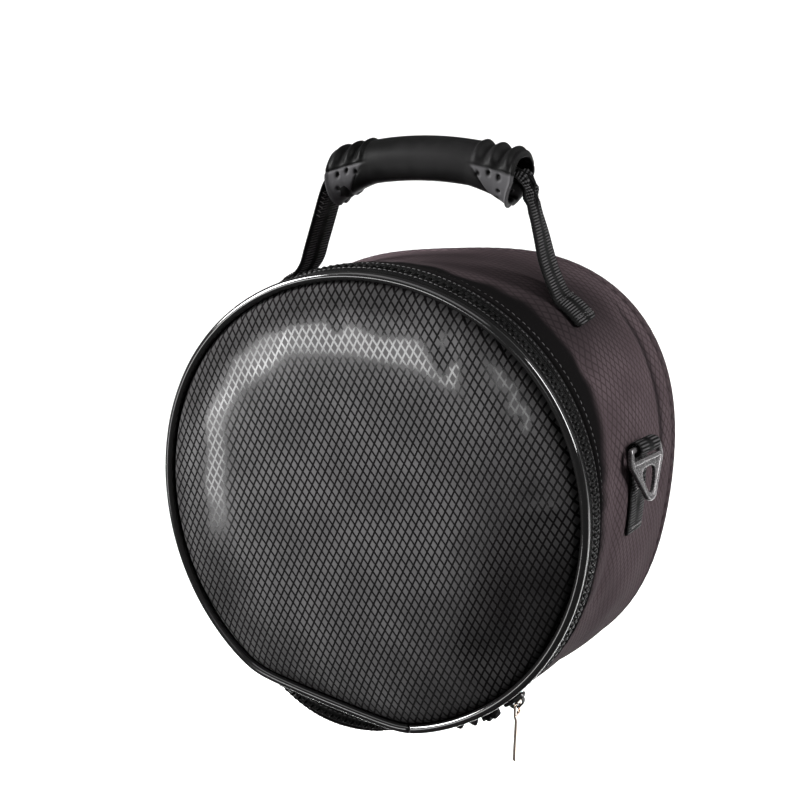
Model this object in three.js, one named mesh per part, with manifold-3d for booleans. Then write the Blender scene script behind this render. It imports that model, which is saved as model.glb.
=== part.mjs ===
// A round padded drum bag with a zipped lid, hanging from its carrying handle.
// Millimetres. +X runs along the handle, +Y from the lid to the back, +Z up.
// The origin is the middle of the hand grip. Angles round the drum are in degrees
// from the top, positive towards +X.
import * as THREE from 'three';
import { mergeVertices } from 'three/addons/utils/BufferGeometryUtils.js';
import Module from 'manifold-3d';

// Driving dimensions
const GRIP_TO_AXIS = 154.5; // the drum's axis lies this far below the grip
const LID_Y = -61; // plane of the lid's piping
const COIL_Y = -46; // middle of the zip coil
const FOLD_Y = -39.5; // folded front edge of the padded wall
const BACK_Y = 53; // plane of the back seam
const STEPS = 60; // facets round the drum
const GAP = 0.3; // between neighbouring pieces
const SEWN_GAP = 0.4; // between flat webbing and the curved wall below it

const PADDING = 4; // thickness of the padded wall and panels
const TAPE = 1.2; // thickness of the zip tape
const WEBBING = 1.8; // thickness of the handle webbing
const TAB = 1.6; // thickness of the ring tabs' webbing

const PIPING_R = 2.2;
const WELT_R = 2.5;
const LID_PUFF = 7; // the lid swells this far in front of its piping
const COIL_WIDTH = 6.6;
const COIL_RISE = 1.0; // the coil stands this far above the tape
const ZIP_END = 147.5; // the zip stops here, and the lid stays sewn from here to the bottom
const SLIDER_AT = 141.8;

// Outer radius of the bag about the drum's axis. One row for each depth, with a column every 45 degrees:
// depth, top, right shoulder, right, right haunch, bottom, left haunch, left, left shoulder
const SECTIONS = [
  [LID_Y, 110.5, 111.0, 108.5, 110.5, 113.5, 111.0, 107.5, 110.5], // piping of the lid
  [COIL_Y, 112.0, 109.5, 108.0, 112.0, 118.0, 114.0, 107.0, 110.0], // zip
  [-34, 111.5, 113.0, 108.0, 113.0, 118.0, 114.0, 107.0, 110.0], // behind the wall's fold
  [-4, 106.0, 115.5, 111.0, 116.0, 117.0, 114.0, 108.0, 110.0], // mid-depth, below the handle
  [26, 103.0, 119.0, 112.5, 119.0, 115.5, 115.0, 110.0, 111.0], // behind the handle
  [BACK_Y, 101.0, 120.0, 112.5, 120.0, 115.0, 116.0, 111.0, 110.0], // back seam
];

// The handle pulls the wall up into a tent at each of its two anchors.
const PULLS = [
  { turn: 38, rise: 4.5 },
  { turn: -40, rise: 4.5 },
];
const PULL_TURN = 12;
const PULL_DEPTH = 17;

const DEG = Math.PI / 180;

// Each column's share at an angle: one at its own angle and nothing at the other seven.
function columnShare(degrees) {
  const a = degrees * DEG;
  return (1 + 2 * Math.cos(a) + 2 * Math.cos(2 * a) + 2 * Math.cos(3 * a) + Math.cos(4 * a)) / 8;
}

function sectionRadius(row, turn) {
  return SECTIONS[row].slice(1).reduce((sum, r, k) => sum + r * columnShare(turn - 45 * k), 0);
}

// Radius of the bag's outside at an angle and a depth: a cubic through the sections, plus the handle's pull.
function bagRadius(turn, y) {
  const last = SECTIONS.length - 1;
  const next = Math.min(last, Math.max(1, SECTIONS.findIndex((s) => s[0] >= y)));
  const slope = (i) => {
    const [a, b] = [Math.max(0, i - 1), Math.min(last, i + 1)];
    return (sectionRadius(b, turn) - sectionRadius(a, turn)) / (SECTIONS[b][0] - SECTIONS[a][0]);
  };
  const span = SECTIONS[next][0] - SECTIONS[next - 1][0];
  const t = (y - SECTIONS[next - 1][0]) / span;
  const cubic =
    sectionRadius(next - 1, turn) * (1 + 2 * t) * (1 - t) ** 2 +
    slope(next - 1) * span * t * (1 - t) ** 2 +
    sectionRadius(next, turn) * t * t * (3 - 2 * t) +
    slope(next) * span * t * t * (t - 1);
  const pull = PULLS.reduce(
    (sum, p) => sum + p.rise * Math.exp(-(((turn - p.turn) / PULL_TURN) ** 2) - (y / PULL_DEPTH) ** 2),
    0,
  );
  return cubic + pull;
}

function polar(turn, radius, y) {
  const a = turn * DEG;
  return new THREE.Vector3(radius * Math.sin(a), y, radius * Math.cos(a) - GRIP_TO_AXIS);
}

function turnsBetween(from, to) {
  const step = 360 / STEPS;
  const inner = [];
  for (let turn = Math.ceil((from + 1) / step) * step; turn < to - 1; turn += step) inner.push(turn);
  return [from, ...inner, to];
}

const FULL_TURN = Array.from({ length: STEPS }, (_, k) => (k * 360) / STEPS - 180);

// A closed body from points and triangles, turned so that its faces point out.
function closedGeometry(points, triangles) {
  const volume = triangles.reduce((sum, [a, b, c]) => {
    const cross = new THREE.Vector3().crossVectors(points[b], points[c]);
    return sum + points[a].dot(cross);
  }, 0);
  const outward = volume > 0 ? triangles : triangles.map(([a, b, c]) => [a, c, b]);
  const geometry = new THREE.BufferGeometry().setFromPoints(points);
  geometry.setIndex(outward.flat());
  geometry.computeVertexNormals();
  return geometry;
}

// Sections joined one to the next. Each section is a ring of points: one edge, then the other edge coming back.
// A closed loft returns to its first section; an open one gets end caps between the two edges.
function loft(sections, closed) {
  const count = sections[0].length;
  const points = sections.flat();
  const triangles = [];
  const quad = (a, b, c, d) => triangles.push([a, b, c], [a, c, d]);
  const joins = closed ? sections.length : sections.length - 1;
  for (let i = 0; i < joins; i++) {
    const [here, there] = [i * count, ((i + 1) % sections.length) * count];
    for (let j = 0; j < count; j++) {
      const k = (j + 1) % count;
      quad(here + j, there + j, there + k, here + k);
    }
  }
  if (!closed) {
    const end = (sections.length - 1) * count;
    for (let j = 0; j < count / 2 - 1; j++) {
      const [a, b, c, d] = [j, j + 1, count - 2 - j, count - 1 - j];
      quad(a, b, c, d);
      quad(end + a, end + d, end + c, end + b);
    }
  }
  return closedGeometry(points, triangles);
}

// A round panel from rings of points, with a single point in the middle of each face.
function panel(frontMiddle, rings, backMiddle) {
  const points = [frontMiddle, ...rings.flat(), backMiddle];
  const lastRing = 1 + (rings.length - 1) * STEPS;
  const triangles = [];
  for (let k = 0; k < STEPS; k++) {
    const m = (k + 1) % STEPS;
    triangles.push([0, 1 + k, 1 + m], [points.length - 1, lastRing + m, lastRing + k]);
    for (let ring = 1; ring < lastRing; ring += STEPS) {
      const next = ring + STEPS;
      triangles.push([ring + k, next + k, next + m], [ring + k, next + m, ring + m]);
    }
  }
  return closedGeometry(points, triangles);
}

// A band round the drum. edges(turn) gives the section as [radius, depth] corners, outer edge first.
function band(edges, turns, closed) {
  return loft(turns.map((turn) => edges(turn).map(([r, y]) => polar(turn, r, y))), closed);
}

function circle(radius, sides) {
  return Array.from({ length: sides }, (_, k) => {
    const a = ((k + 0.5) / sides) * 2 * Math.PI;
    return [radius * Math.cos(a), radius * Math.sin(a)];
  });
}

const COLOURS = {
  ripstop: { color: 0x383438, roughness: 0.6, metalness: 0 },
  piping: { color: 0x141414, roughness: 0.2, metalness: 0 },
  tape: { color: 0x1e1c1d, roughness: 0.85, metalness: 0 },
  coil: { color: 0x1a1a1a, roughness: 0.5, metalness: 0 },
  webbing: { color: 0x181819, roughness: 0.8, metalness: 0 },
  grip: { color: 0x262426, roughness: 0.55, metalness: 0 },
  ring: { color: 0x969296, roughness: 0.4, metalness: 0.6 },
  slider: { color: 0x202020, roughness: 0.4, metalness: 0.3 },
  pull: { color: 0xc9b8a6, roughness: 0.2, metalness: 1 },
};

const bag = new THREE.Group();

function add(name, geometry, colour) {
  const mesh = new THREE.Mesh(geometry, new THREE.MeshStandardMaterial(COLOURS[colour]));
  mesh.name = name;
  bag.add(mesh);
  return mesh;
}

// Side wall: a padded tube, open at the front, whose front edge is folded over the zip tape
const HEM = { crest: FOLD_Y + 1.5, rise: 0.5, drop: 1 }; // the fold's crest stands proud and its edge turns in
const WALL_ROWS = [FOLD_Y, HEM.crest, -31, -22, -10, 0, 10, 22, 36, BACK_Y - WELT_R];
const hem = (y) => (y === FOLD_Y ? -HEM.drop : y === HEM.crest ? HEM.rise : 0);
const wallSection = (turn) => [
  ...WALL_ROWS.map((y) => [bagRadius(turn, y) + hem(y), y]),
  ...WALL_ROWS.toReversed().map((y) => [bagRadius(turn, y) - PADDING, y]),
];
add('side_wall', band(wallSection, FULL_TURN, true), 'ripstop');

// Back panel: padded, with a flat middle that stands just behind the welt
const BACK_FLAT_R = 60;
const BACK_FACE_Y = BACK_Y + 3.6;
const BACK_EDGE = { share: 0.85, dip: 0.6, front: BACK_Y - 2, rear: BACK_Y + 1.4 }; // the panel rounds off to its rim
const WELT_IN = 1.6; // the welt's middle lies this far inside the wall's outside
const backRim = (turn) => bagRadius(turn, BACK_Y) - WELT_IN - WELT_R - GAP;
const ringAt = (radius, y) => FULL_TURN.map((turn) => polar(turn, radius(turn), y));
add(
  'back_panel',
  panel(
    polar(0, 0, BACK_FACE_Y),
    [
      ringAt(() => BACK_FLAT_R, BACK_FACE_Y),
      ringAt((turn) => BACK_EDGE.share * backRim(turn), BACK_FACE_Y - BACK_EDGE.dip),
      ringAt(backRim, BACK_EDGE.rear),
      ringAt(backRim, BACK_EDGE.front),
      ringAt((turn) => BACK_EDGE.share * backRim(turn), BACK_FACE_Y - PADDING),
    ],
    polar(0, 0, BACK_FACE_Y - PADDING),
  ),
  'ripstop',
);

// Back welt: the rolled edge of the seam between wall and back panel
const weltSection = (turn) =>
  circle(WELT_R, 6).map(([u, v]) => [bagRadius(turn, BACK_Y) - WELT_IN + u, BACK_Y + GAP + v]);
add('back_welt', band(weltSection, FULL_TURN, true), 'ripstop');

// Front panel: the padded lid, which swells quickly inside the piping and then slowly to its middle
const lidRim = (turn) => bagRadius(turn, LID_Y) - PIPING_R - GAP;
const LID_STEP = 0.5; // the lid's edge lies this far in front of the piping's middle
const lidFace = (share) => LID_Y - LID_STEP - LID_PUFF * (1 - share ** 4) * (1 - 0.35 * share * share);
const lidRing = (share, y) => ringAt((turn) => share * lidRim(turn), y);
const LID_SHARES = [0.45, 0.72, 0.88, 0.96];
const LID_INSIDE = { share: 0.88, middle: 0.6, edge: 0.8 * PADDING };
add(
  'front_panel',
  panel(
    polar(0, 0, lidFace(0)),
    [
      ...LID_SHARES.map((s) => lidRing(s, lidFace(s))),
      lidRing(1, lidFace(1)),
      lidRing(1, lidFace(1) + LID_INSIDE.edge),
      lidRing(LID_INSIDE.share, lidFace(LID_INSIDE.share) + PADDING),
    ],
    polar(0, 0, lidFace(LID_INSIDE.middle) + PADDING),
  ),
  'ripstop',
);

// Front piping: a cord round the lid, whose two ends butt together at the bottom
const pipingSection = (turn) =>
  circle(PIPING_R, 8).map(([u, v]) => [bagRadius(turn, LID_Y) + u, LID_Y + v]);
add('front_piping', band(pipingSection, turnsBetween(-179.9, 179.9), false), 'piping');

// Zip: two woven tapes with the coil between them, from the bottom round the left, top and right
const ZIP_TURNS = turnsBetween(-179.9, ZIP_END);
const COIL_FRONT = COIL_Y - COIL_WIDTH / 2;
const COIL_BACK = COIL_Y + COIL_WIDTH / 2;
const TAPE_FRONT = LID_Y + PIPING_R + GAP;
const strip = (front, back, thick) => (turn) => [
  [bagRadius(turn, front), front],
  [bagRadius(turn, back), back],
  [bagRadius(turn, back) - thick, back],
  [bagRadius(turn, front) - thick, front],
];
add('zip_tape_front', band(strip(TAPE_FRONT, COIL_FRONT - GAP, TAPE), ZIP_TURNS, false), 'tape');
add('zip_tape_rear', band(strip(COIL_BACK + GAP, FOLD_Y - GAP, TAPE), ZIP_TURNS, false), 'tape');
const coilSection = (turn) => {
  const r = bagRadius(turn, COIL_Y);
  return [
    [r, COIL_FRONT],
    [r + COIL_RISE, COIL_Y],
    [r, COIL_BACK],
    [r - TAPE, COIL_BACK],
    [r - TAPE, COIL_Y],
    [r - TAPE, COIL_FRONT],
  ];
};
add('zip_coil', band(coilSection, ZIP_TURNS, false), 'coil');

// Lid hinge: the plain strip between the zip's two ends, where the lid stays sewn to the wall
const HINGE_TURNS = turnsBetween(ZIP_END + 0.2, 179.8);
const hingeSection = (turn) => {
  const rows = [TAPE_FRONT, COIL_Y, FOLD_Y - GAP];
  return [
    ...rows.map((y) => [bagRadius(turn, y), y]),
    ...rows.toReversed().map((y) => [bagRadius(turn, y) - TAB, y]),
  ];
};
add('lid_hinge', band(hingeSection, HINGE_TURNS, false), 'ripstop');

// Zip end tab: the folded end of the tape, sewn on the hinge strip beside the coil's end
const END_TAB = { from: ZIP_END + 1, to: ZIP_END + 5, width: 9, rise: 1.5, bevel: 1 };
const endTabSection = (turn) => {
  const [front, back] = [COIL_Y - END_TAB.width / 2, COIL_Y + END_TAB.width / 2];
  const foot = (y) => bagRadius(turn, y) + SEWN_GAP;
  return [
    [foot(front) + END_TAB.rise, front + END_TAB.bevel],
    [foot(back) + END_TAB.rise, back - END_TAB.bevel],
    [foot(back), back],
    [foot(front), front],
  ];
};
add('zip_end_tab', band(endTabSection, turnsBetween(END_TAB.from, END_TAB.to), false), 'tape');

// Solids for joining and cutting, and back to three.js geometry
const wasm = await Module();
wasm.setup();

function toSolid(geometry) {
  const bare = geometry.clone();
  bare.deleteAttribute('normal');
  bare.deleteAttribute('uv');
  const merged = mergeVertices(bare, 1e-4);
  return new wasm.Manifold(
    new wasm.Mesh({
      numProp: 3,
      vertProperties: new Float32Array(merged.attributes.position.array),
      triVerts: new Uint32Array(merged.index.array),
    }),
  );
}

function fromSolid(solid) {
  const mesh = solid.getMesh();
  const geometry = new THREE.BufferGeometry();
  geometry.setAttribute('position', new THREE.BufferAttribute(mesh.vertProperties, 3));
  geometry.setIndex(new THREE.BufferAttribute(mesh.triVerts, 1));
  geometry.computeVertexNormals();
  return geometry;
}

function outline(corners) {
  return new THREE.Shape(corners.map(([x, y]) => new THREE.Vector2(x, y)));
}

function plate(shape, thickness, bevel) {
  const geometry = new THREE.ExtrudeGeometry(shape, {
    depth: thickness - 2 * bevel,
    bevelEnabled: bevel > 0,
    bevelThickness: bevel,
    bevelSize: bevel,
    bevelOffset: -bevel,
    bevelSegments: 1,
    curveSegments: 5,
  });
  return geometry.translate(0, 0, bevel - thickness / 2);
}

// Zip slider: a body on the coil with a bridge along it. Local X runs along the zip, Y across it, Z outwards.
const SLIDER = { length: 12, width: 8.4, nose: 5.2, height: 2, bevel: 0.4 };
const BRIDGE = { reach: 4.4, shoulder: 3.2, width: 3, inside: 2.6, bar: 1.3, bevel: 0.3 };
const bridgeTop = SLIDER.height + BRIDGE.inside + BRIDGE.bar;
const sliderBody = plate(
  outline([
    [-SLIDER.length / 2, -SLIDER.nose / 2],
    [-SLIDER.length / 4, -SLIDER.width / 2],
    [SLIDER.length / 2, -SLIDER.width / 2],
    [SLIDER.length / 2, SLIDER.width / 2],
    [-SLIDER.length / 4, SLIDER.width / 2],
    [-SLIDER.length / 2, SLIDER.nose / 2],
  ]),
  SLIDER.height,
  SLIDER.bevel,
).translate(0, 0, SLIDER.height / 2);
const bridgeSide = outline([
  [-BRIDGE.reach, SLIDER.height / 2],
  [BRIDGE.reach, SLIDER.height / 2],
  [BRIDGE.reach, bridgeTop - BRIDGE.bar],
  [BRIDGE.shoulder, bridgeTop],
  [-BRIDGE.shoulder, bridgeTop],
  [-BRIDGE.reach, bridgeTop - BRIDGE.bar],
]);
const eyeTop = SLIDER.height + BRIDGE.inside;
const eyeEnd = BRIDGE.reach - BRIDGE.bar;
const eyeCorner = 0.7;
bridgeSide.holes.push(
  outline([
    [-eyeEnd, SLIDER.height],
    [-eyeEnd, eyeTop - eyeCorner],
    [-eyeEnd + eyeCorner, eyeTop],
    [eyeEnd - eyeCorner, eyeTop],
    [eyeEnd, eyeTop - eyeCorner],
    [eyeEnd, SLIDER.height],
  ]),
);
const bridge = plate(bridgeSide, BRIDGE.width, BRIDGE.bevel).rotateX(Math.PI / 2);
const sliderGeometry = fromSolid(toSolid(sliderBody).add(toSolid(bridge)));
const sliderFoot = bagRadius(SLIDER_AT, COIL_Y) + COIL_RISE + GAP;
const slider = add('zip_slider', sliderGeometry, 'slider');
slider.position.copy(polar(SLIDER_AT, sliderFoot, COIL_Y));
slider.rotation.y = SLIDER_AT * DEG;

// Zip pull: a slim plated strip whose top bar lies under the bridge. It hangs straight down.
const PULL = { length: 31, thick: 1.3, bevel: 0.3, bar: 1.2 };
const PULL_EYE = { width: 4.4, end: -5.2 };
const PULL_SIDE = [
  // half width, height above the pivot
  [3.6, PULL.bar / 2],
  [3.6, -5.8],
  [1.8, -9.3],
  [2.7, -PULL.length + 6],
  [2.7, -PULL.length + 2],
  [1.35, -PULL.length],
];
const pullShape = outline([
  ...PULL_SIDE.map(([half, z]) => [-half, z]),
  ...PULL_SIDE.toReversed(),
]);
pullShape.holes.push(
  outline([
    [-PULL_EYE.width / 2, -PULL.bar / 2],
    [PULL_EYE.width / 2, -PULL.bar / 2],
    [PULL_EYE.width / 2, PULL_EYE.end],
    [-PULL_EYE.width / 2, PULL_EYE.end],
  ]),
);
const pullPivot = polar(SLIDER_AT, sliderFoot + SLIDER.height + BRIDGE.inside / 2, COIL_Y);
const pullGeometry = plate(pullShape, PULL.thick, PULL.bevel).rotateX(Math.PI / 2).rotateZ(Math.PI / 2);
add('zip_pull', pullGeometry, 'pull').position.copy(pullPivot);

// Hand grip: a moulded sleeve, arched and higher at its right end, with ridges on top near both ends
const GRIP_HALF = 50;
const GRIP_ARCH = 7.6; // the ends lie this far below the middle
const GRIP_TILT = 3.6; // and the right end this far above their mean
const GRIP_SLANT = 0.18; // each end leans out by this for every unit of height
const GRIP_SQUARE = 0.85; // an ellipse's power of 1, squared off a little
const GRIP_SIDES = 16;
const GRIP_STATIONS = 26;
const RIDGE = { height: 1.2, pitch: 8, crest: 46, from: 27 };
const CHANNEL = { halfWidth: 10.2, halfHeight: WEBBING / 2 + 0.5, square: 0.15 };
const GRIP_SECTIONS = [
  // share of the half length, half width, height above and depth below the webbing
  [0, 12.5, 11.5, 9.5],
  [0.5, 12.5, 11.5, 9.5],
  [0.8, 13.2, 12.0, 11.5],
  [1, 14.5, 12.5, 13.5],
];

function gripSize(x, column) {
  const share = Math.abs(x) / GRIP_HALF;
  const next = Math.max(1, GRIP_SECTIONS.findIndex((s) => s[0] >= share - 1e-9));
  const [a, b] = [GRIP_SECTIONS[next - 1], GRIP_SECTIONS[next]];
  return THREE.MathUtils.mapLinear(share, a[0], b[0], a[column], b[column]);
}

function gripHeight(x) {
  const share = x / GRIP_HALF;
  return GRIP_TILT * share - GRIP_ARCH * share * share;
}

function ridge(x) {
  const wave = Math.cos((2 * Math.PI * (Math.abs(x) - RIDGE.crest)) / RIDGE.pitch);
  return Math.abs(x) > RIDGE.from ? RIDGE.height * wave : 0;
}

const stations = Array.from({ length: GRIP_STATIONS }, (_, k) => {
  return -GRIP_HALF + (2 * GRIP_HALF * k) / (GRIP_STATIONS - 1);
});
const gripPoint = (x, y, up) => {
  const slant = GRIP_SLANT * up * (x / GRIP_HALF) ** 3;
  return new THREE.Vector3(x + slant, y, gripHeight(x) + up);
};
const gripLine = (k) => {
  const a = ((k + 0.5) / GRIP_SIDES) * 2 * Math.PI;
  const squared = (v, power) => Math.sign(v) * Math.abs(v) ** power;
  const outside = stations.map((x) => {
    const up = squared(Math.sin(a), GRIP_SQUARE);
    const height = up > 0 ? gripSize(x, 2) + ridge(x) : gripSize(x, 3);
    return gripPoint(x, gripSize(x, 1) * squared(Math.cos(a), GRIP_SQUARE), height * up);
  });
  const inside = stations.map((x) => {
    const across = CHANNEL.halfWidth * squared(Math.cos(a), CHANNEL.square);
    return gripPoint(x, across, CHANNEL.halfHeight * squared(Math.sin(a), CHANNEL.square));
  });
  return [...outside, ...inside.toReversed()];
};
const gripLines = Array.from({ length: GRIP_SIDES }, (_, k) => gripLine(k));
add('hand_grip', loft(gripLines, true), 'grip');

// Handle webbing: from the right anchor up the right leg, through the grip and down to the left anchor.
// The legs are creased along their middle and lie flat where they are sewn down and inside the grip.
const STRAP_HALF = 10;
const LEG = { half: 8.5, crease: 2.2, easing: 3 }; // the crease grows over this many points from each end
const GRIP_STRAP_HALF = 9.4;
const ANCHORS = { right: [44, 42, 36], left: [-36, -42, -46] };
const RIGHT_LEG = [
  // x, z of the middle of the strap, from the anchor to the grip
  [66.2, -49.5],
  [62.6, -40.5],
  [59.7, -30.5],
  [56.9, -21.5],
  [54.4, -14],
  [52.3, -8],
];
const LEFT_LEG = [
  // x, z of the middle of the strap, from the grip to the anchor
  [-51.4, -14],
  [-51.9, -19],
  [-52.6, -27],
  [-54.8, -36.5],
  [-57.8, -46.5],
  [-61.4, -56],
];
const STRAP_PARTS = 10;
const STRAP_IN_GRIP = Array.from({ length: STRAP_PARTS + 1 }, (_, k) => GRIP_HALF * (1 - (2 * k) / STRAP_PARTS));

function anchorSection(turn) {
  const columns = [-STRAP_HALF, 0, STRAP_HALF];
  const at = (y, lift) => polar(turn, bagRadius(turn, y) + SEWN_GAP + lift, y);
  return [...columns.map((y) => at(y, WEBBING)), ...columns.toReversed().map((y) => at(y, 0))];
}

// A section across the strap at one of its path's points, square to the path, with its middle raised by a crease.
function strapSection(before, here, after, half, crease) {
  const along = new THREE.Vector2(after[0] - before[0], after[1] - before[1]).normalize();
  const at = (y, lift) => new THREE.Vector3(here[0] + along.y * lift, y, here[1] - along.x * lift);
  const t = WEBBING / 2;
  return [
    at(-half, t),
    at(0, t + crease),
    at(half, t),
    at(half, -t),
    at(0, crease - t),
    at(-half, -t),
  ];
}

const middlePath = [
  ...RIGHT_LEG.map((p) => ({ p, half: LEG.half, crease: LEG.crease })),
  ...STRAP_IN_GRIP.map((x) => ({ p: [x, gripHeight(x)], half: GRIP_STRAP_HALF, crease: 0 })),
  ...LEFT_LEG.map((p) => ({ p, half: LEG.half, crease: LEG.crease })),
];
const eased = (i) => {
  const fromEnd = Math.min(i, middlePath.length - 1 - i);
  const fromGrip = Math.abs(i - (middlePath.length - 1) / 2) - STRAP_IN_GRIP.length / 2;
  return Math.min(1, Math.max(0, Math.min(fromEnd + 1, fromGrip) / LEG.easing));
};
const middleSections = middlePath.map(({ p, half, crease }, i) => {
  const before = middlePath[Math.max(0, i - 1)].p;
  const after = middlePath[Math.min(middlePath.length - 1, i + 1)].p;
  return strapSection(before, p, after, half, crease * eased(i));
});
const strapSections = [
  ...ANCHORS.right.map(anchorSection),
  ...middleSections,
  ...ANCHORS.left.map(anchorSection),
];
add('handle_webbing', loft(strapSections, false), 'webbing');

// Ring tabs and triangular rings, one on each side of the wall. The tab lies on the wall, and its top folds
// round the ring's bar. The loop is turned a little, so that its rear edge stands further off the wall.
const TAB_HALF = 7.6;
const TAB_TURNS = [97, 96, 90, 84]; // where the tab lies on the wall, from its lower end
const BAR_TURN = 75; // the ring's bar lies level with this angle on the wall
const LOOP = { inner: 2.2, outer: 2.2 + TAB, end: -100, steps: 8 };
const YAW = 12;
const RING_TILT = 11; // the ring hangs this far out of the vertical, against the wall
const RING = { thick: 2.6, bevel: 0.6, bar: 3, frame: 2.6, widest: 14.6, apex: 5, apexAt: -21.6, corner: 1 };
const SLOT = { half: 11, height: 3.6 };
const EYE = { top: -10.1, half: 7.2, apex: 2.5, apexAt: -20.8, corner: 1.6 };
const SIDE_LEAN = 35; // the ring's sides run onto its round apex at this angle

function ringShape() {
  const top = RING.bar / 2;
  const shoulder = SLOT.half + RING.frame;
  const slotEnd = -top - SLOT.height;
  const hip = slotEnd - 2 * RING.corner; // where the frame is widest
  const lean = SIDE_LEAN * DEG;
  const shape = new THREE.Shape();
  shape.moveTo(shoulder - RING.corner, top);
  shape.lineTo(-shoulder + RING.corner, top);
  shape.lineTo(-shoulder, top - RING.corner);
  shape.lineTo(-RING.widest, hip);
  shape.absarc(0, RING.apexAt, RING.apex, -Math.PI + lean, -lean, false);
  shape.lineTo(RING.widest, hip);
  shape.lineTo(shoulder, top - RING.corner);
  const slot = outline([
    [-SLOT.half, -top],
    [SLOT.half, -top],
    [SLOT.half, slotEnd],
    [-SLOT.half, slotEnd],
  ]);
  const eye = new THREE.Path();
  eye.moveTo(-EYE.half + EYE.corner, EYE.top);
  eye.lineTo(EYE.half - EYE.corner, EYE.top);
  eye.lineTo(EYE.half, EYE.top - EYE.corner);
  eye.absarc(0, EYE.apexAt, EYE.apex, -lean, -Math.PI + lean, true);
  eye.lineTo(-EYE.half, EYE.top - EYE.corner);
  shape.holes.push(slot, eye);
  return shape;
}

// Middle of the ring's bar on one side: the front edge of the loop touches the wall there.
function barMiddle(side) {
  const wall = polar(side * BAR_TURN, bagRadius(side * BAR_TURN, -TAB_HALF), 0);
  const off = 2 * GAP + LOOP.outer + TAB_HALF * Math.tan(YAW * DEG);
  return new THREE.Vector3(wall.x + side * off, 0, wall.z);
}

function tabGeometry(side) {
  const bar = barMiddle(side);
  const columns = [-TAB_HALF, 0, TAB_HALF];
  const section = (point) => [
    ...columns.map((y) => point(y, TAB)),
    ...columns.toReversed().map((y) => point(y, 0)),
  ];
  const onWall = (turn) => (y, lift) => {
    return polar(side * turn, bagRadius(side * turn, y) + SEWN_GAP + lift, y);
  };
  const roundBar = (degrees) => (y, lift) => {
    const r = LOOP.inner + lift;
    const axis = bar.x + side * y * Math.tan(YAW * DEG);
    return new THREE.Vector3(
      axis + side * r * Math.cos(degrees * DEG),
      y,
      bar.z + r * Math.sin(degrees * DEG),
    );
  };
  const loopAngles = Array.from({ length: LOOP.steps + 1 }, (_, k) => {
    return 180 + ((LOOP.end - 180) * k) / LOOP.steps;
  });
  // On the wall the outer face looks outwards, and round the bar the same face looks at the bar.
  const flipped = (point) => (y, lift) => point(y, TAB - lift);
  const sections = [
    ...TAB_TURNS.map((turn) => section(onWall(turn))),
    ...loopAngles.map((degrees) => section(flipped(roundBar(degrees)))),
  ];
  return loft(sections, false);
}

const SIDES = { right: 1, left: -1 };
for (const [name, side] of Object.entries(SIDES)) {
  add(`ring_tab_${name}`, tabGeometry(side), 'webbing');
  const ringGeometry = plate(ringShape(), RING.thick, RING.bevel).rotateX(Math.PI / 2).rotateZ(Math.PI / 2);
  const ring = add(`tri_ring_${name}`, ringGeometry, 'ring');
  const facing = side > 0 ? -YAW * DEG : Math.PI + YAW * DEG;
  ring.position.copy(barMiddle(side));
  ring.rotation.set(0, -RING_TILT * DEG, facing, 'ZYX');
}

export default bag;
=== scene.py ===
import bmesh
import bpy
import numpy as np
from mathutils import Matrix


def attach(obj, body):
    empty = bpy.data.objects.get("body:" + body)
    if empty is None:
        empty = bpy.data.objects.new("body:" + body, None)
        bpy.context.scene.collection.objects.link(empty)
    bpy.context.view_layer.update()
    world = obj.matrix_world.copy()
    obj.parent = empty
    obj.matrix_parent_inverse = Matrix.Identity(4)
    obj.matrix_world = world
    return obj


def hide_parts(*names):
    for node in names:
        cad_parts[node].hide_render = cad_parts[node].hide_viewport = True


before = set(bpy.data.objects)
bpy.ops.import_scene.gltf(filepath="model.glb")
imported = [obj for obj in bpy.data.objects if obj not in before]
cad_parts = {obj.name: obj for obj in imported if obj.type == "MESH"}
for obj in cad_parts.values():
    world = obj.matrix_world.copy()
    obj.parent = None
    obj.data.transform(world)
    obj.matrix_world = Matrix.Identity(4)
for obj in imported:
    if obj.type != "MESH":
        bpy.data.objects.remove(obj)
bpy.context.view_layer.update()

# Side wall: a padded tube round the drum, of coated ripstop nylon over foam. Its front edge is folded and
# topstitched over the zip tape, its back edge is caught in the welt, and its top sags between the handle's
# two anchors. Sizes are in millimetres, and turns in degrees from the top towards +X.
MM = 0.001
AXIS_Z = -154.5
MEAN_R = 112.0  # lengths round the drum are measured at this radius
LID_Y, COIL_Y, FOLD_Y, BACK_Y = -61.0, -46.0, -39.5, 53.0
PADDING = 4.0
SECTION_Y = np.array([LID_Y, COIL_Y, -34.0, -4.0, 26.0, BACK_Y])
SECTION_RADII = np.array([
    # top, right shoulder, right, right haunch, bottom, left haunch, left, left shoulder
    [110.5, 111.0, 108.5, 110.5, 113.5, 111.0, 107.5, 110.5],
    [112.0, 109.5, 108.0, 112.0, 118.0, 114.0, 107.0, 110.0],
    [111.5, 113.0, 108.0, 113.0, 118.0, 114.0, 107.0, 110.0],
    [106.0, 115.5, 111.0, 116.0, 117.0, 114.0, 108.0, 110.0],
    [103.0, 119.0, 112.5, 119.0, 115.5, 115.0, 110.0, 111.0],
    [101.0, 120.0, 112.5, 120.0, 115.0, 116.0, 111.0, 110.0],
])
PULLS = [(38.0, 4.5), (-40.0, 4.5)]  # turn, rise
PULL_TURN, PULL_DEPTH = 12.0, 17.0
PRESS_TURN, PRESS_HALF = -169.0, 20.5  # middle and half of the arc where the lid's edge is pressed flat
PRESS_CORNER, PRESS_BACK = 1.5, 8.0  # how round the ends of that arc are, and how far back it reaches
PRESS_IN, SAG_OUT = 7.2, 10.5  # how far the lid's edge goes in there, and the hem behind the zip sags out
SAG_TURN, SAG_WIDTH = -165.0, 21.0
SAG_FRONT, SAG_BACK = 6.0, 16.0  # how far that sag reaches to the front and to the back of the hem


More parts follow.
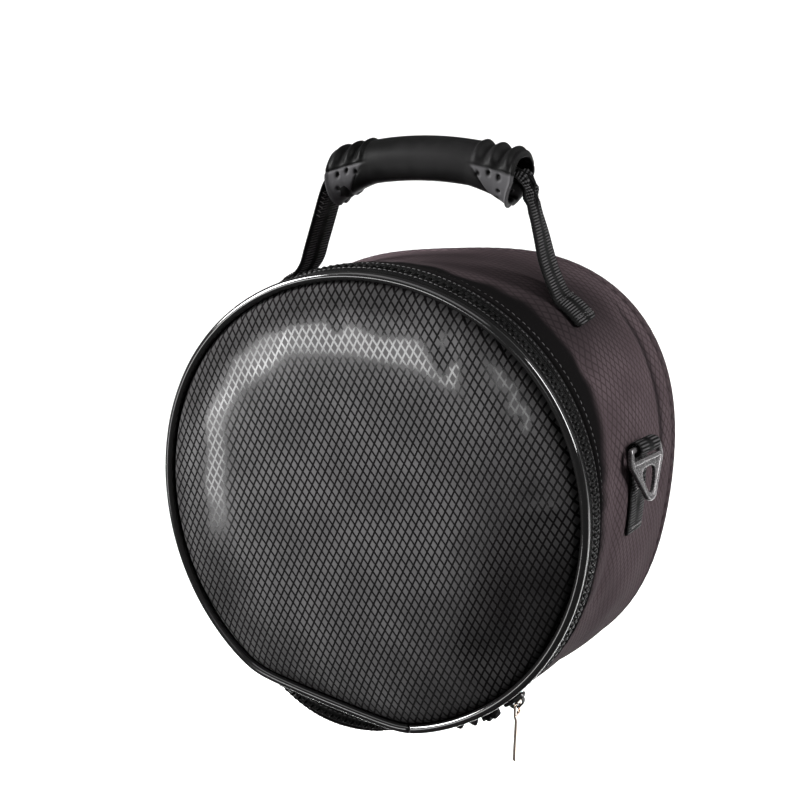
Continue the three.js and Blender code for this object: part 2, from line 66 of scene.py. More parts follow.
def bell(x, at, width):
    """One at a place, falling to nothing over a width either side."""
    return np.exp(-(((x - at) / width) ** 2))


def smooth(x, start, end):
    """Nought before start, one after end, and a smooth step between them."""
    t = np.clip((x - start) / (end - start), 0, 1)
    return t * t * (3 - 2 * t)


def between(x, start, full, ease, end):
    """Nought outside start and end, one from full to ease, and smooth steps between them."""
    return smooth(x, start, full) * (1 - smooth(x, ease, end))


def turn_from(turn, at):
    """How far a turn is from another, between -180 and 180."""
    return (turn - at + 180) % 360 - 180


def arc(turn):
    """Length round the drum."""
    return np.radians(turn) * MEAN_R


def round_drum(turn, radius, y):
    """Points at those turns, radii and depths."""
    a = np.radians(turn)
    return np.stack(np.broadcast_arrays(radius * np.sin(a), y, radius * np.cos(a) + AXIS_Z), -1)


def pressed(turn, y):
    """Change of radius where the lid's edge is pressed flat: over that arc it follows a chord with rounded
    ends. The hem behind the zip sags out there as a bell round the drum. Both fall off as bells over the
    depth."""
    away = np.radians(turn_from(turn, PRESS_TURN))
    chord = 1 - np.cos(np.radians(PRESS_HALF)) / np.maximum(np.cos(away), 0.5)
    chord = PRESS_IN * chord / (1 - np.cos(np.radians(PRESS_HALF)))
    press = PRESS_CORNER * np.logaddexp(0, chord / PRESS_CORNER) * bell(y, LID_Y, PRESS_BACK)
    sag = SAG_OUT * bell(turn_from(turn, SAG_TURN), 0, SAG_WIDTH)
    return sag * bell(y, FOLD_Y, np.where(y < FOLD_Y, SAG_FRONT, SAG_BACK)) - press


def bag_radius(turn, y):
    """Outside of the bag at a turn and a depth. Round the drum each section is the trigonometric curve
    through its eight radii, and from section to section it is a cubic. Each pull of the handle adds a bell,
    and the pressed edge is added."""
    turn, y = np.broadcast_arrays(np.asarray(turn, float), np.asarray(y, float))
    a = np.radians(turn[..., None] - 45.0 * np.arange(8))
    share = (1 + 2 * np.cos(a) + 2 * np.cos(2 * a) + 2 * np.cos(3 * a) + np.cos(4 * a)) / 8
    rows = share @ SECTION_RADII.T
    k = np.arange(len(SECTION_Y))
    low, high = np.maximum(k - 1, 0), np.minimum(k + 1, k[-1])
    slopes = (rows[..., high] - rows[..., low]) / (SECTION_Y[high] - SECTION_Y[low])
    after = np.clip(np.searchsorted(SECTION_Y, y), 1, k[-1])
    span = SECTION_Y[after] - SECTION_Y[after - 1]
    t = (y - SECTION_Y[after - 1]) / span
    r0, r1, m0, m1 = (
        np.take_along_axis(table, index[..., None], -1)[..., 0]
        for table, index in ((rows, after - 1), (rows, after), (slopes, after - 1), (slopes, after))
    )
    cubic = r0 * (1 + 2 * t) * (1 - t) ** 2 + m0 * span * t * (1 - t) ** 2
    cubic += r1 * t * t * (3 - 2 * t) + m1 * span * t * t * (t - 1)
    for at, rise in PULLS:
        cubic += rise * bell(turn, at, PULL_TURN) * bell(y, 0, PULL_DEPTH)
    return cubic + pressed(turn, y)


def grid_quads(rows, columns, wrap_rows=False, wrap_columns=False):
    """Corner numbers of the quads between neighbouring points of a grid that is stored row by row."""
    r = np.arange(rows if wrap_rows else rows - 1)[:, None]
    c = np.arange(columns if wrap_columns else columns - 1)[None, :]
    r2, c2 = (r + 1) % rows, (c + 1) % columns
    corners = np.broadcast_arrays(r * columns + c, r * columns + c2, r2 * columns + c2, r2 * columns + c)
    return np.stack(corners, -1).reshape(-1, 4)


def quad_mesh(name, points, quads, cloth=None, values=None):
    """A mesh from points in millimetres and quads. cloth gives a place on the flat cloth for each corner of
    each quad, values a named number for each point. Points that coincide are joined, and faces turned
    outwards."""
    mesh = bpy.data.meshes.new(name)
    flat = np.ascontiguousarray(points.reshape(-1, 3) * MM, np.float32)
    mesh.vertices.add(len(flat))
    mesh.vertices.foreach_set("co", flat.ravel())
    mesh.loops.add(quads.size)
    mesh.loops.foreach_set("vertex_index", np.ascontiguousarray(quads, np.int32).ravel())
    mesh.polygons.add(len(quads))
    mesh.polygons.foreach_set("loop_start", np.arange(0, quads.size, 4, dtype=np.int32))
    mesh.update(calc_edges=True)
    if cloth is not None:
        layer = mesh.uv_layers.new(name="cloth")
        layer.data.foreach_set("uv", np.ascontiguousarray(cloth, np.float32).ravel())
    for key, numbers in (values or {}).items():
        layer = mesh.attributes.new(key, "FLOAT", "POINT")
        layer.data.foreach_set("value", np.ascontiguousarray(numbers, np.float32).ravel())
    form = bmesh.new()
    form.from_mesh(mesh)
    bmesh.ops.remove_doubles(form, verts=form.verts, dist=1e-7)
    bmesh.ops.dissolve_degenerate(form, edges=form.edges, dist=1e-8)
    bmesh.ops.recalc_face_normals(form, faces=form.faces)
    form.to_mesh(mesh)
    form.free()
    mesh.shade_smooth()
    return mesh


def grid_mesh(name, points, wrap_rows=False, wrap_columns=False, cloth=None, values=None):
    """A mesh over a grid of points. cloth has one row or column more than the points where the grid
    wraps."""
    rows, columns = points.shape[:2]
    quads = grid_quads(rows, columns, wrap_rows, wrap_columns)
    if cloth is not None:
        corners = grid_quads(rows + wrap_rows, columns + wrap_columns)
        cloth = cloth.reshape(-1, 2)[corners]
    return quad_mesh(name, points, quads, cloth, values)


def flat_map(rows, columns):
    """Places on flat cloth for a grid: one number for each row, then one for each column."""
    return np.stack(np.meshgrid(rows, columns, indexing="ij"), -1)


def add_object(name, data):
    """A new object in the scene."""
    new = bpy.data.objects.new(name, data)
    bpy.context.collection.objects.link(new)
    return new


def place(mesh, material):
    """A new object that shows the mesh in that material."""
    mesh.materials.append(material)
    return add_object(mesh.name, mesh)


def set_inputs(tree, node, inputs):
    """Sets a node's inputs. Each takes a value, or the output that feeds it."""
    for key, value in inputs.items():
        if isinstance(value, bpy.types.NodeSocket):
            tree.links.new(value, node.inputs[key])
        else:
            node.inputs[key].default_value = value


def add_node(tree, kind, inputs=None, **settings):
    """A new node with those settings and inputs."""
    node = tree.nodes.new(kind)
    for key, value in settings.items():
        setattr(node, key, value)
    set_inputs(tree, node, inputs or {})
    return node


def calculate(tree, operation, *numbers):
    """The output of a Math node."""
    return add_node(tree, "ShaderNodeMath", dict(enumerate(numbers)), operation=operation).outputs[0]


def ramp(tree, value, low, high, to_low=0.0, to_high=1.0):
    """The output of a Map Range node with a smooth step."""
    numbers = {"Value": value, "From Min": low, "From Max": high, "To Min": to_low, "To Max": to_high}
    return add_node(tree, "ShaderNodeMapRange", numbers, interpolation_type="SMOOTHSTEP").outputs["Result"]


def noise(tree, vector, scale, detail):
    """The output of a Noise node."""
    inputs = {"Vector": vector, "Scale": scale, "Detail": detail}
    return add_node(tree, "ShaderNodeTexNoise", inputs).outputs["Fac"]


def blend_colour(tree, share, first, second):
    """The colour between first and second by share."""
    ends = [c if isinstance(c, bpy.types.NodeSocket) else (*c, 1.0) for c in (first, second)]
    inputs = {0: share, 6: ends[0], 7: ends[1]}
    return add_node(tree, "ShaderNodeMix", inputs, data_type="RGBA").outputs[2]


def bumped(tree, height, strength, distance):
    """A normal that follows a height."""
    inputs = {"Strength": strength, "Distance": distance, "Height": height}
    return add_node(tree, "ShaderNodeBump", inputs).outputs[0]


def new_material(name):
    """A material, its node tree and its shader."""
    material = bpy.data.materials.new(name)
    material.use_nodes = True
    return material, material.node_tree, material.node_tree.nodes["Principled BSDF"]


def new_group(name, numbers, outputs):
    """An empty shader group that takes a place on the cloth and numbers: its tree, inputs and outputs."""
    tree = bpy.data.node_groups.new(name, "ShaderNodeTree")
    tree.interface.new_socket(name="Cloth", in_out="INPUT", socket_type="NodeSocketVector")
    for keys, way in ((numbers, "INPUT"), (outputs, "OUTPUT")):
        for key in keys:
            tree.interface.new_socket(name=key, in_out=way, socket_type="NodeSocketFloat")
    return tree, tree.nodes.new("NodeGroupInput").outputs, tree.nodes.new("NodeGroupOutput")


WEAVE_PITCH = 0.5
CELL_WIDTH, CELL_HEIGHT, LINE_WIDTH = 3.95, 6.55, 0.155


def ripstop_group():
    """Thick threads along two crossing families of straight lines, which leave diamonds between them. Line
    is one on a thread, Weave rises and falls with the fine threads in the diamonds, and Cloud changes
    slowly over the cloth."""
    outputs = ["Line", "Weave", "Cloud"]
    tree, given, result = new_group("ripstop", ["Cell Width", "Cell Height", "Line Width"], outputs)
    across = add_node(tree, "ShaderNodeSeparateXYZ", {0: given["Cloth"]}).outputs
    u = calculate(tree, "DIVIDE", across[0], given["Cell Width"])
    v = calculate(tree, "DIVIDE", across[1], given["Cell Height"])
    rising, falling = (
        calculate(tree, "PINGPONG", calculate(tree, way, u, v), 0.5) for way in ("ADD", "SUBTRACT")
    )
    away = calculate(tree, "MINIMUM", rising, falling)
    thin = calculate(tree, "MULTIPLY", given["Line Width"], 0.7)
    fine = 2 * np.pi / WEAVE_PITCH
    warp, weft = (calculate(tree, "SINE", calculate(tree, "MULTIPLY", across[k], fine)) for k in (0, 1))
    set_inputs(tree, result, {
        "Line": ramp(tree, away, thin, given["Line Width"], 1.0, 0.0),
        "Weave": calculate(tree, "MULTIPLY", warp, weft),
        "Cloud": noise(tree, given["Cloth"], 0.035, 3.0),
    })
    return tree


RIPSTOP = ripstop_group()
# Near black that painted shade blends the cloth to.
PAINTED_SHADE_COLOUR = (0.0045, 0.0042, 0.0043)
CLOTH_SHEEN = (1.0, 0.94, 0.955, 1.0)


def ripstop_cloth(name, turned, dark, pale, thread, index, dull, gloss):
    """Coated ripstop: dull grey diamonds between darker, glossier threads that stand a little proud. turned
    is the angle between the cloth's short diamonds and the map's first direction, dull the diamonds'
    roughness and gloss the strength of the threads' coat. A point attribute masks painted shade: where it is
    high the colour goes to a near black and the threads' coat fades out."""
    material, tree, shader = new_material(name)
    flat = add_node(tree, "ShaderNodeUVMap", uv_map="cloth").outputs[0]
    angles = (0, 0, np.radians(turned))
    flat = add_node(tree, "ShaderNodeMapping", {"Vector": flat, "Rotation": angles}).outputs[0]
    sizes = {"Cloth": flat, "Cell Width": CELL_WIDTH, "Cell Height": CELL_HEIGHT, "Line Width": LINE_WIDTH}
    cloth = add_node(tree, "ShaderNodeGroup", sizes, node_tree=RIPSTOP).outputs
    line, weave, cloud = cloth["Line"], cloth["Weave"], cloth["Cloud"]
    dyed = blend_colour(tree, ramp(tree, cloud, 0.35, 0.65), dark, pale)
    woven = blend_colour(tree, line, dyed, thread)
    # Painted shade: a point attribute darkens the colour and fades the threads' coat.
    painted_shade = add_node(tree, "ShaderNodeAttribute", attribute_name="painted_shade").outputs["Fac"]
    coated = ramp(tree, painted_shade, 0.5, 0.6, gloss, 0.0)
    relief = calculate(tree, "MULTIPLY_ADD", weave, 0.16, line)
    set_inputs(tree, shader, {
        "Base Color": blend_colour(tree, painted_shade, woven, PAINTED_SHADE_COLOUR),
        "Roughness": ramp(tree, cloud, 0.3, 0.7, dull - 0.05, dull + 0.05),
        "IOR": index,
        "Specular Tint": CLOTH_SHEEN,
        "Coat Weight": calculate(tree, "MULTIPLY", line, coated),
        "Coat Roughness": 0.12,
        "Coat IOR": 1.75,
        "Normal": bumped(tree, relief, 0.25, 0.00012),
    })
    return material


WALL_CLOTH = {
    "dark": (0.047, 0.035, 0.0384), "pale": (0.062, 0.0468, 0.0509), "thread": (0.034, 0.0258, 0.028),
    "index": 1.02, "dull": 0.55, "gloss": 0.0,
}
WALL_END = 50.5
STITCH_Y = FOLD_Y + 3.6
HEM_ROLL, HEM_GROOVE, HEM_TUCK = 0.7, 0.55, 1.6  # the hem's rise, its stitches' groove, its edge's rounding
FRONT_GATHER, BACK_GATHER, SLACK = 0.28, 0.12, 0.5  # heights of the gathers and of the cloth's slow waves
CREASES = [
    # from turn, depth, to turn, depth, width, how deep
    (14.0, -24.0, 52.0, -17.0, 7.0, 1.6),
    (52.0, -17.0, 112.0, -22.0, 6.0, 1.2),
    (30.0, 20.0, 50.0, 26.0, 9.0, 1.2),
    (-52.0, -18.0, -30.0, -22.0, 7.0, 1.2),
    (-56.0, 22.0, -26.0, 24.0, 9.0, 1.0),
    (62.0, 30.0, 100.0, 24.0, 10.0, 0.8),
    (118.0, -8.0, 150.0, 6.0, 11.0, 0.9),
    (-150.0, 10.0, -110.0, -4.0, 12.0, 0.8),
    (48.0, 41.0, 92.0, 37.0, 5.0, 1.3),
]


def crease_depth(turn, y):
    """Sum of soft valleys, each a bell about a straight run between two places on the wall."""
    total = np.zeros(np.broadcast(turn, y).shape)
    for from_turn, from_y, to_turn, to_y, width, depth in CREASES:
        x, long, wide = arc(turn - from_turn), arc(to_turn - from_turn), to_y - from_y
        t = np.clip((x * long + (y - from_y) * wide) / (long**2 + wide**2), 0, 1)
        total += depth * bell(np.hypot(x - t * long, y - from_y - t * wide), 0, width)
    return total


def gathers(turn, pitch):
    """Uneven small waves round the drum, about that many millimetres long, between minus one and one."""
    k = np.round(2 * np.pi * MEAN_R / pitch)
    a = np.radians(turn)
    slow = 0.6 + 0.4 * np.sin(3 * a + 1.0) * np.sin(7 * a)
    return slow * np.sin(k * a + 1.6 * np.sin(5 * a) + 0.9 * np.sin(13 * a))


def wall_outside(turn, y):
    """bag_radius less the creases, with a rolled hem, a groove under its stitches, and gathers at both
    seams."""
    hem = HEM_ROLL * bell(y, FOLD_Y + 1.7, 1.5) - HEM_GROOVE * bell(y, STITCH_Y, 0.7)
    tuck = np.clip((FOLD_Y + HEM_TUCK - y) / HEM_TUCK, 0, 1)
    hem = hem - HEM_TUCK * (1 - np.sqrt(1 - tuck**2))
    front = FRONT_GATHER * gathers(turn, 7.0) * bell(y, STITCH_Y + 1.5, 4.0)
    back = BACK_GATHER * gathers(turn + 9.0, 10.0) * smooth(y, BACK_Y - 16, BACK_Y - 3)
    a = np.radians(turn)
    slack = SLACK * np.sin(5 * a + 0.06 * y) * np.sin(0.07 * y + 2 * a)
    return bag_radius(turn, y) + hem + front + back + slack - crease_depth(turn, y)


wall_turns = np.linspace(-180, 180, 361)
outer_y = np.concatenate([np.linspace(FOLD_Y, FOLD_Y + 6, 17), np.linspace(FOLD_Y + 7, WALL_END, 46)])
inner_y = np.linspace(WALL_END, FOLD_Y, 10)
turn, y = np.meshgrid(wall_turns[:-1], outer_y)
outside = round_drum(turn, wall_outside(turn, y), y)
turn, y = np.meshgrid(wall_turns[:-1], inner_y)
inside = round_drum(turn, bag_radius(turn, y) - PADDING, y)
wall_cloth = flat_map(np.concatenate([outer_y, inner_y, outer_y[:1]]), arc(wall_turns))

# Painted shade on the wall: a near black band behind the zip's hem, the top of the wall under the handle,
# most towards its right anchor, and a line along the crease near the back seam on the right.
HEM_PAINTED_SHADE = [(28.0, 26.0, 19.0), (62.0, 18.0, 8.0)]  # turn, width, how far back the hem's painted shade reaches there
HANDLE_SHADE, SHOULDER_SHADE, REAR_SHADE = 0.5, 0.2, 0.85  # how dark the painted shade makes the cloth in those places
turn, y = np.meshgrid(wall_turns[:-1], np.concatenate([outer_y, inner_y]))
hem_shade_end = FOLD_Y + 5.0 + sum(far * bell(turn, at, width) for at, width, far in HEM_PAINTED_SHADE)
hem_shade_end = hem_shade_end + 1.6 * gathers(turn, 21.0)
hem_painted_shade = 1 - smooth(y, hem_shade_end - 6.0, hem_shade_end + 6.0)
shade_under_handle = HANDLE_SHADE + SHOULDER_SHADE * smooth(turn, 10.0, 40.0)
shade_under_handle = shade_under_handle * between(turn, -20.0, 10.0, 40.0, 60.0) * (1 - smooth(y, 18.0, 54.0))
# Painted shade along the crease near the back seam.
rear_crease_shade = REAR_SHADE * bell(y, 41.0 - (turn - 48.0) / 11.0, 2.2) * between(turn, 34.0, 52.0, 78.0, 96.0)
painted_shade = np.maximum.reduce([hem_painted_shade, shade_under_handle, rear_crease_shade])
wall_points = np.concatenate([outside, inside])
wall_mesh = grid_mesh("wall_cover", wall_points, True, True, wall_cloth, {"painted_shade": painted_shade})
wall_material = ripstop_cloth("wall_ripstop", 4.0, **WALL_CLOTH)
wall = place(wall_mesh, wall_material)
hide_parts("side_wall")
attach(wall, "bag")

# Back panel and welt: a padded disc of the same cloth, sewn to the wall with both edges rolled into a welt.
# The panel's middle lies flat behind the welt, and its edge rounds off into the seam.
SEAM_GAP = 0.3  # between pieces that meet at a seam
WELT_R, WELT_IN, WELT_Y = 2.5, 1.6, BACK_Y + 0.3
BACK_FACE_Y = BACK_Y + 3.6


def back_rim(turn):
    """Radius of the back panel's edge."""
    return bag_radius(turn, BACK_Y) - WELT_IN - WELT_R - SEAM_GAP


def disc_points(shares, rim, depth):
    """Points over a disc: share of the rim's radius by turn, with a depth for each."""
    share, turn = np.meshgrid(shares, wall_turns[:-1], indexing="ij")
    return round_drum(turn, share * rim(turn), depth(share, turn))


def back_outside(share, turn):
    """Flat to about six tenths, then rounding off to the seam, with gathers near the edge."""
    edge = smooth(share, 0.55, 0.9) * 0.6 + 1.7 * smooth(share, 0.86, 1.0) ** 2
    ripple = 0.14 * gathers(turn, 11.0) * smooth(share, 0.86, 0.97)
    return BACK_FACE_Y - edge - ripple


def back_inside(share, turn):
    """Parallel to the outside, a padding's thickness in front of it."""
    return BACK_FACE_Y - PADDING - 1.4 * smooth(share, 0.85, 1.0) + 0 * turn


def disc_cloth(points):
    """Places on the flat cloth of a disc: across and up, closed round the drum."""
    flat = points[..., [0, 2]] - (0, AXIS_Z)
    return np.concatenate([flat, flat[:, :1]], 1)


back_points = np.concatenate([
    disc_points(1 - np.linspace(1, 0, 60) ** 1.4, back_rim, back_outside),
    disc_points(np.linspace(1, 0, 8), back_rim, back_inside),
])
back_material = ripstop_cloth("back_ripstop", 0.0, **WALL_CLOTH)
back = place(grid_mesh("back_cover", back_points, False, True, disc_cloth(back_points)), back_material)
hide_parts("back_panel")
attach(back, "bag")


def circle(count):
    """That many angles round a circle."""
    return np.linspace(0, 2 * np.pi, count + 1)[:-1]


def ring_tube(turns, radius, y, thickness, sides):
    """A tube round the drum: its middle at a radius and a depth for each turn, with a thickness for
    each."""
    around = circle(sides)
    thick = thickness[:, None]
    return round_drum(turns[:, None], radius[:, None] + thick * np.cos(around), y + thick * np.sin(around))


welt_turns = np.linspace(-180, 180, 721)
welt_size = WELT_R * (1 + 0.02 * gathers(welt_turns, 6.0))
welt_points = ring_tube(welt_turns, bag_radius(welt_turns, BACK_Y) - WELT_IN, WELT_Y, welt_size, 16)[:-1]
welt_cloth = flat_map(arc(welt_turns), np.linspace(0, 16, 17))[..., ::-1]
welt_material = ripstop_cloth("welt_ripstop", 0.0, **WALL_CLOTH)
welt = place(grid_mesh("welt_roll", welt_points, True, True, welt_cloth), welt_material)
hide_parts("back_welt")
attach(welt, "bag")

# Lid: a disc of ripstop over a round pad of foam that is smaller than the lid, so that the cloth slopes
# from the pad's rounded edge to the piped seam. The slope is a little crumpled on the right and has soft
# dents, and the lid's edge is pressed flat at the lower left.
PIPING_R = 2.2
LID_R = 108.0  # dents are placed at this radius of the lid
SEAM_Y = LID_Y - 0.5
LID_PUFF, LID_DOME = 7.0, 1.2  # the pad's height in all, and the part of it that is a shallow dome
SHOULDER, SHOULDER_SOFT = 0.83, 0.07  # share of the radius where the pad ends, and how round its edge is
LID_ROLL, ROLL_FROM = 1.0, 0.9  # how far the padding rounds over to the seam, and from what share
GATHER_RISE, CRUMPLE_RISE = 0.07, 0.35
LID_DENTS = [
    # across, up, half width across, half width up, how deep
    (-13.0, 92.0, 3.5, 9.0, 0.7),
    (42.0, 86.0, 4.0, 11.0, 0.7),
    (80.0, -38.0, 9.0, 16.0, 1.5),
    (62.0, -62.0, 16.0, 9.0, 1.2),
    (88.0, 22.0, 7.0, 12.0, 0.9),
    (-70.0, -58.0, 14.0, 12.0, 0.8),
    (10.0, 20.0, 60.0, 45.0, 0.8),
]


def lid_rim(turn):
    """Radius of the lid's edge, just inside the piping."""
    return bag_radius(turn, LID_Y) - PIPING_R - SEAM_GAP


def lid_swell(share):
    """A shallow dome over the pad, then a rounded shoulder and an even slope down to the seam."""
    bend, full = (np.logaddexp(0, (s - SHOULDER) / SHOULDER_SOFT) for s in (share, 1.0))
    return (LID_PUFF - LID_DOME) * (1 - bend / full) + LID_DOME * (1 - share**2)


def lid_outside(share, turn):
    """lid_swell with a rolled edge, less the dents, with gathers at the edge and crumples on the right."""
    a = np.radians(turn)
    uneven = 0.014 * np.sin(3 * a + 0.6) + 0.01 * np.sin(8 * a + 1.0) + 0.006 * np.sin(17 * a)
    swell = lid_swell(share + uneven * bell(share, SHOULDER, 0.12))
    over = np.clip((share - ROLL_FROM) / (1 - ROLL_FROM), 0, 1)
    swell = swell + LID_ROLL * (np.sqrt(1.0004 - over**2) - 0.02)
    across, up = share * LID_R * np.sin(a), share * LID_R * np.cos(a)
    for x, z, wide, tall, depth in LID_DENTS:
        swell = swell - depth * bell(across, x, wide) * bell(up, z, tall)
    swell = swell + GATHER_RISE * gathers(turn + 4.0, 12.0) * between(share, 0.84, 0.95, 0.97, 1.0)
    right = between(turn, 35.0, 60.0, 135.0, 160.0)
    swell = swell + CRUMPLE_RISE * right * gathers(turn + 2.0, 27.0) * bell(share, 0.87, 0.08)
    return SEAM_Y - swell + 1.8 * smooth(share, 0.972, 1.0) ** 2


def lid_inside(share, turn):
    """Parallel to the outside, a padding's thickness behind it, without the dents."""
    return SEAM_Y - np.minimum(lid_swell(share), 5.0) + PADDING - 0.8 * smooth(share, 0.9, 1.0) + 0 * turn


# Painted shade on the lid: it darkens the lower right, the lower left, the upper left along the seam, and a
# band all round the rim.
LID_PAINTED_SHADE = [
    # turn, width round the drum, shares of the radius from which and at which it is full, how dark the
    # painted shade is
    (112.0, 48.0, 0.32, 0.78, 0.84),
    (-128.0, 32.0, 0.64, 0.88, 0.55),
]
UPPER_SHADE, RIM_SHADE = 0.64, 0.6  # how dark the painted shade makes the cloth along the seam, at the upper left and all round
lid_shares, inner_shares = 1 - np.linspace(1, 0, 96) ** 1.5, np.linspace(1, 0, 10)
lid_points = np.concatenate([
    disc_points(lid_shares, lid_rim, lid_outside),
    disc_points(inner_shares, lid_rim, lid_inside),
])
share, turn = np.meshgrid(np.concatenate([lid_shares, inner_shares]), wall_turns[:-1], indexing="ij")
lower = sum(
    dark * bell(turn, at, width) * smooth(share, low, full) for at, width, low, full, dark in LID_PAINTED_SHADE
)
upper_left_shade = UPPER_SHADE * between(turn, -90.0, -65.0, 8.0, 30.0) * smooth(share, 0.83, 0.92)
lid_painted_shade = np.maximum.reduce([lower, upper_left_shade, RIM_SHADE * smooth(share, 0.86, 0.98)])
lid_mesh = grid_mesh("lid_cover", lid_points, False, True, disc_cloth(lid_points), {"painted_shade": lid_painted_shade})
lid_material = ripstop_cloth(
    "lid_ripstop", -9.0, dark=(0.058, 0.0565, 0.0575), pale=(0.077, 0.075, 0.0762),
    thread=(0.0012, 0.0012, 0.0012), index=1.05, dull=0.6, gloss=0.75,
)
lid = place(lid_mesh, lid_material)
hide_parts("front_panel")
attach(lid, "bag")

# Piping: a cord covered in glossy black vinyl, sewn into the lid's seam all round.
# Its two ends butt together near the bottom, a little to the right.
JOIN_TURN, JOIN_GAP = 168.0, 0.25


def closed_ends(points):
    """The grid with a row more at each end, in which opposite points of the section meet."""
    first, last = ((row + row[::-1]) / 2 for row in (points[0], points[-1]))
    return np.concatenate([first[None], points, last[None]])


def finish(name, dark, pale, rough, tone, grain=None, hazy=False, speckled=False, patch=None, **settings):
    """A plain finish on the piece's own coordinates. The noise tone, a scale and a detail, takes its colour
    from dark to pale and its roughness over the range rough, with a smooth step, or if hazy its colour
    evenly. The noise grain, a scale, a detail, a strength and a distance, gives relief, and if speckled the
    roughness. patch is an attribute and the colour that it brings."""
    material, tree, shader = new_material(name)
    at = add_node(tree, "ShaderNodeTexCoord").outputs["Object"]
    slow = noise(tree, at, *tone)
    colour = blend_colour(tree, slow if hazy else ramp(tree, slow, 0.3, 0.7), dark, pale)
    if patch:
        share = add_node(tree, "ShaderNodeAttribute", attribute_name=patch[0]).outputs["Fac"]
        colour = blend_colour(tree, share, colour, patch[1])
    inputs = {"Base Color": colour, **settings}
    if grain:
        fine = noise(tree, at, *grain[:2])
        inputs["Normal"] = bumped(tree, fine, *grain[2:])
    inputs["Roughness"] = ramp(tree, fine if speckled else slow, 0.3, 0.7, *rough)
    set_inputs(tree, shader, inputs)
    return material


piping_turns = np.linspace(JOIN_TURN - 360 + JOIN_GAP, JOIN_TURN - JOIN_GAP, 721)
piping_size = PIPING_R * (1 + 0.012 * gathers(piping_turns, 40.0))
piping_points = closed_ends(ring_tube(piping_turns, bag_radius(piping_turns, LID_Y), LID_Y, piping_size, 20))
piping_material = finish(
    "black_vinyl", (0.003, 0.003, 0.003), (0.007, 0.0068, 0.0068), (0.06, 0.11), (900.0, 2.0),
    grain=(900.0, 2.0, 0.08, 0.0002), hazy=True, IOR=1.6,
)
piping = place(grid_mesh("piping_cord", piping_points, False, True), piping_material)
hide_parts("front_piping")
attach(piping, "bag")

# Zip tapes and lid hinge: two woven tapes, sewn to the lid's seam and to the wall, run from the bottom
# round the left, top and right. Between the zip's two ends a plain strip of ripstop keeps the lid sewn to
# the wall.
TAPE, HINGE = 1.2, 1.6
COIL_WIDTH = 6.6
ZIP_START, ZIP_END = -179.9, 147.5
TAPE_FRONT = LID_Y + PIPING_R + SEAM_GAP


def band_points(turns, depths, thickness, lift):
    """A flat band that follows the bag: its outside at each turn and depth, with a lift for each depth, and
    its inside a thickness below, as a closed section for each turn, with both ends closed."""
    turn, y = np.meshgrid(turns, depths, indexing="ij")
    over = round_drum(turn, bag_radius(turn, y) + lift, y)
    under = round_drum(turn, bag_radius(turn, y) - thickness, y)
    return closed_ends(np.concatenate([over, under[:, ::-1]], 1))


def band_cloth(turns, depths):
    """Places on the flat tape: along it and across it, for the section that band_points closes."""
    along = arc(np.concatenate([turns[:1], turns, turns[-1:]]))
    return flat_map(along, np.concatenate([depths, depths[::-1], depths[:1]]))


def woven_group():
    """Ribs across a tape or webbing, raised in columns along it, with fine threads between them. Rib is the
    ribs' height, Thread the threads', and Cloud changes slowly over the cloth."""
    outputs = ["Rib", "Thread", "Cloud"]
    tree, given, result = new_group("woven", ["Rib Pitch", "Thread Pitch", "Column Pitch"], outputs)
    across = add_node(tree, "ShaderNodeSeparateXYZ", {0: given["Cloth"]}).outputs
    along = calculate(tree, "DIVIDE", across[0], given["Rib Pitch"])
    wave = calculate(tree, "PINGPONG", along, 0.5)
    column = calculate(tree, "PINGPONG", calculate(tree, "DIVIDE", across[1], given["Column Pitch"]), 0.5)
    raised = ramp(tree, column, 0.05, 0.32, 0.05, 1.0)
    threads = calculate(tree, "DIVIDE", across[1], given["Thread Pitch"])
    skew = calculate(tree, "MULTIPLY_ADD", along, np.pi, calculate(tree, "MULTIPLY", threads, 2 * np.pi))
    set_inputs(tree, result, {
        "Rib": calculate(tree, "MULTIPLY", ramp(tree, wave, 0.1, 0.42), raised),
        "Thread": calculate(tree, "SINE", skew),
        "Cloud": noise(tree, given["Cloth"], 0.12, 3.0),
    })
    return tree


WOVEN = woven_group()


def woven_tape(name, dark, pale, rib, thread, column, relief):
    """Woven tape: ribs and threads of those pitches as relief, with a painted highlight on the crests and
    painted shade in the hollows.
    """
    material, tree, shader = new_material(name)
    flat = add_node(tree, "ShaderNodeUVMap", uv_map="cloth").outputs[0]
    sizes = {"Cloth": flat, "Rib Pitch": rib, "Thread Pitch": thread, "Column Pitch": column}
    weave = add_node(tree, "ShaderNodeGroup", sizes, node_tree=WOVEN).outputs
    height = calculate(tree, "MULTIPLY_ADD", weave["Thread"], 0.3, weave["Rib"])
    faded = ramp(tree, weave["Cloud"], 0.2, 0.7, 0.5, 1.0)
    # Painted highlight and shade: paler where the relief is high, darker where it is low, varied by slow
    # noise.
    painted_crest_light = calculate(tree, "MULTIPLY", ramp(tree, height, 0.2, 1.15), faded)
    set_inputs(tree, shader, {
        "Base Color": blend_colour(tree, painted_crest_light, dark, pale),
        "Roughness": ramp(tree, weave["Cloud"], 0.3, 0.7, 0.55, 0.72),
        "IOR": 1.15,
        "Normal": bumped(tree, height, 0.8, relief),
    })
    return material


zip_turns = np.linspace(ZIP_START, ZIP_END, 500)
tape_material = woven_tape(
    "zip_tape_weave", (0.002, 0.002, 0.002), (0.007, 0.0068, 0.007), rib=1.1, thread=0.9, column=3.0,
    relief=0.00012,
)
TAPES = [
    # node, front edge, back edge
    ("zip_tape_front", TAPE_FRONT, COIL_Y - COIL_WIDTH / 2 - SEAM_GAP),
    ("zip_tape_rear", COIL_Y + COIL_WIDTH / 2 + SEAM_GAP, FOLD_Y - SEAM_GAP),
]
for node, front, rear in TAPES:
    depths = np.linspace(front, rear, 12)
    selvedge = 0.35 * bell(depths, front + 1.0, 0.7) + 0.35 * bell(depths, rear - 1.0, 0.7)
    points = band_points(zip_turns, depths, TAPE, selvedge)
    mesh = grid_mesh(f"{node}_weave", points, False, True, band_cloth(zip_turns, depths))
    tape = place(mesh, tape_material)
    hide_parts(node)
    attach(tape, "bag")

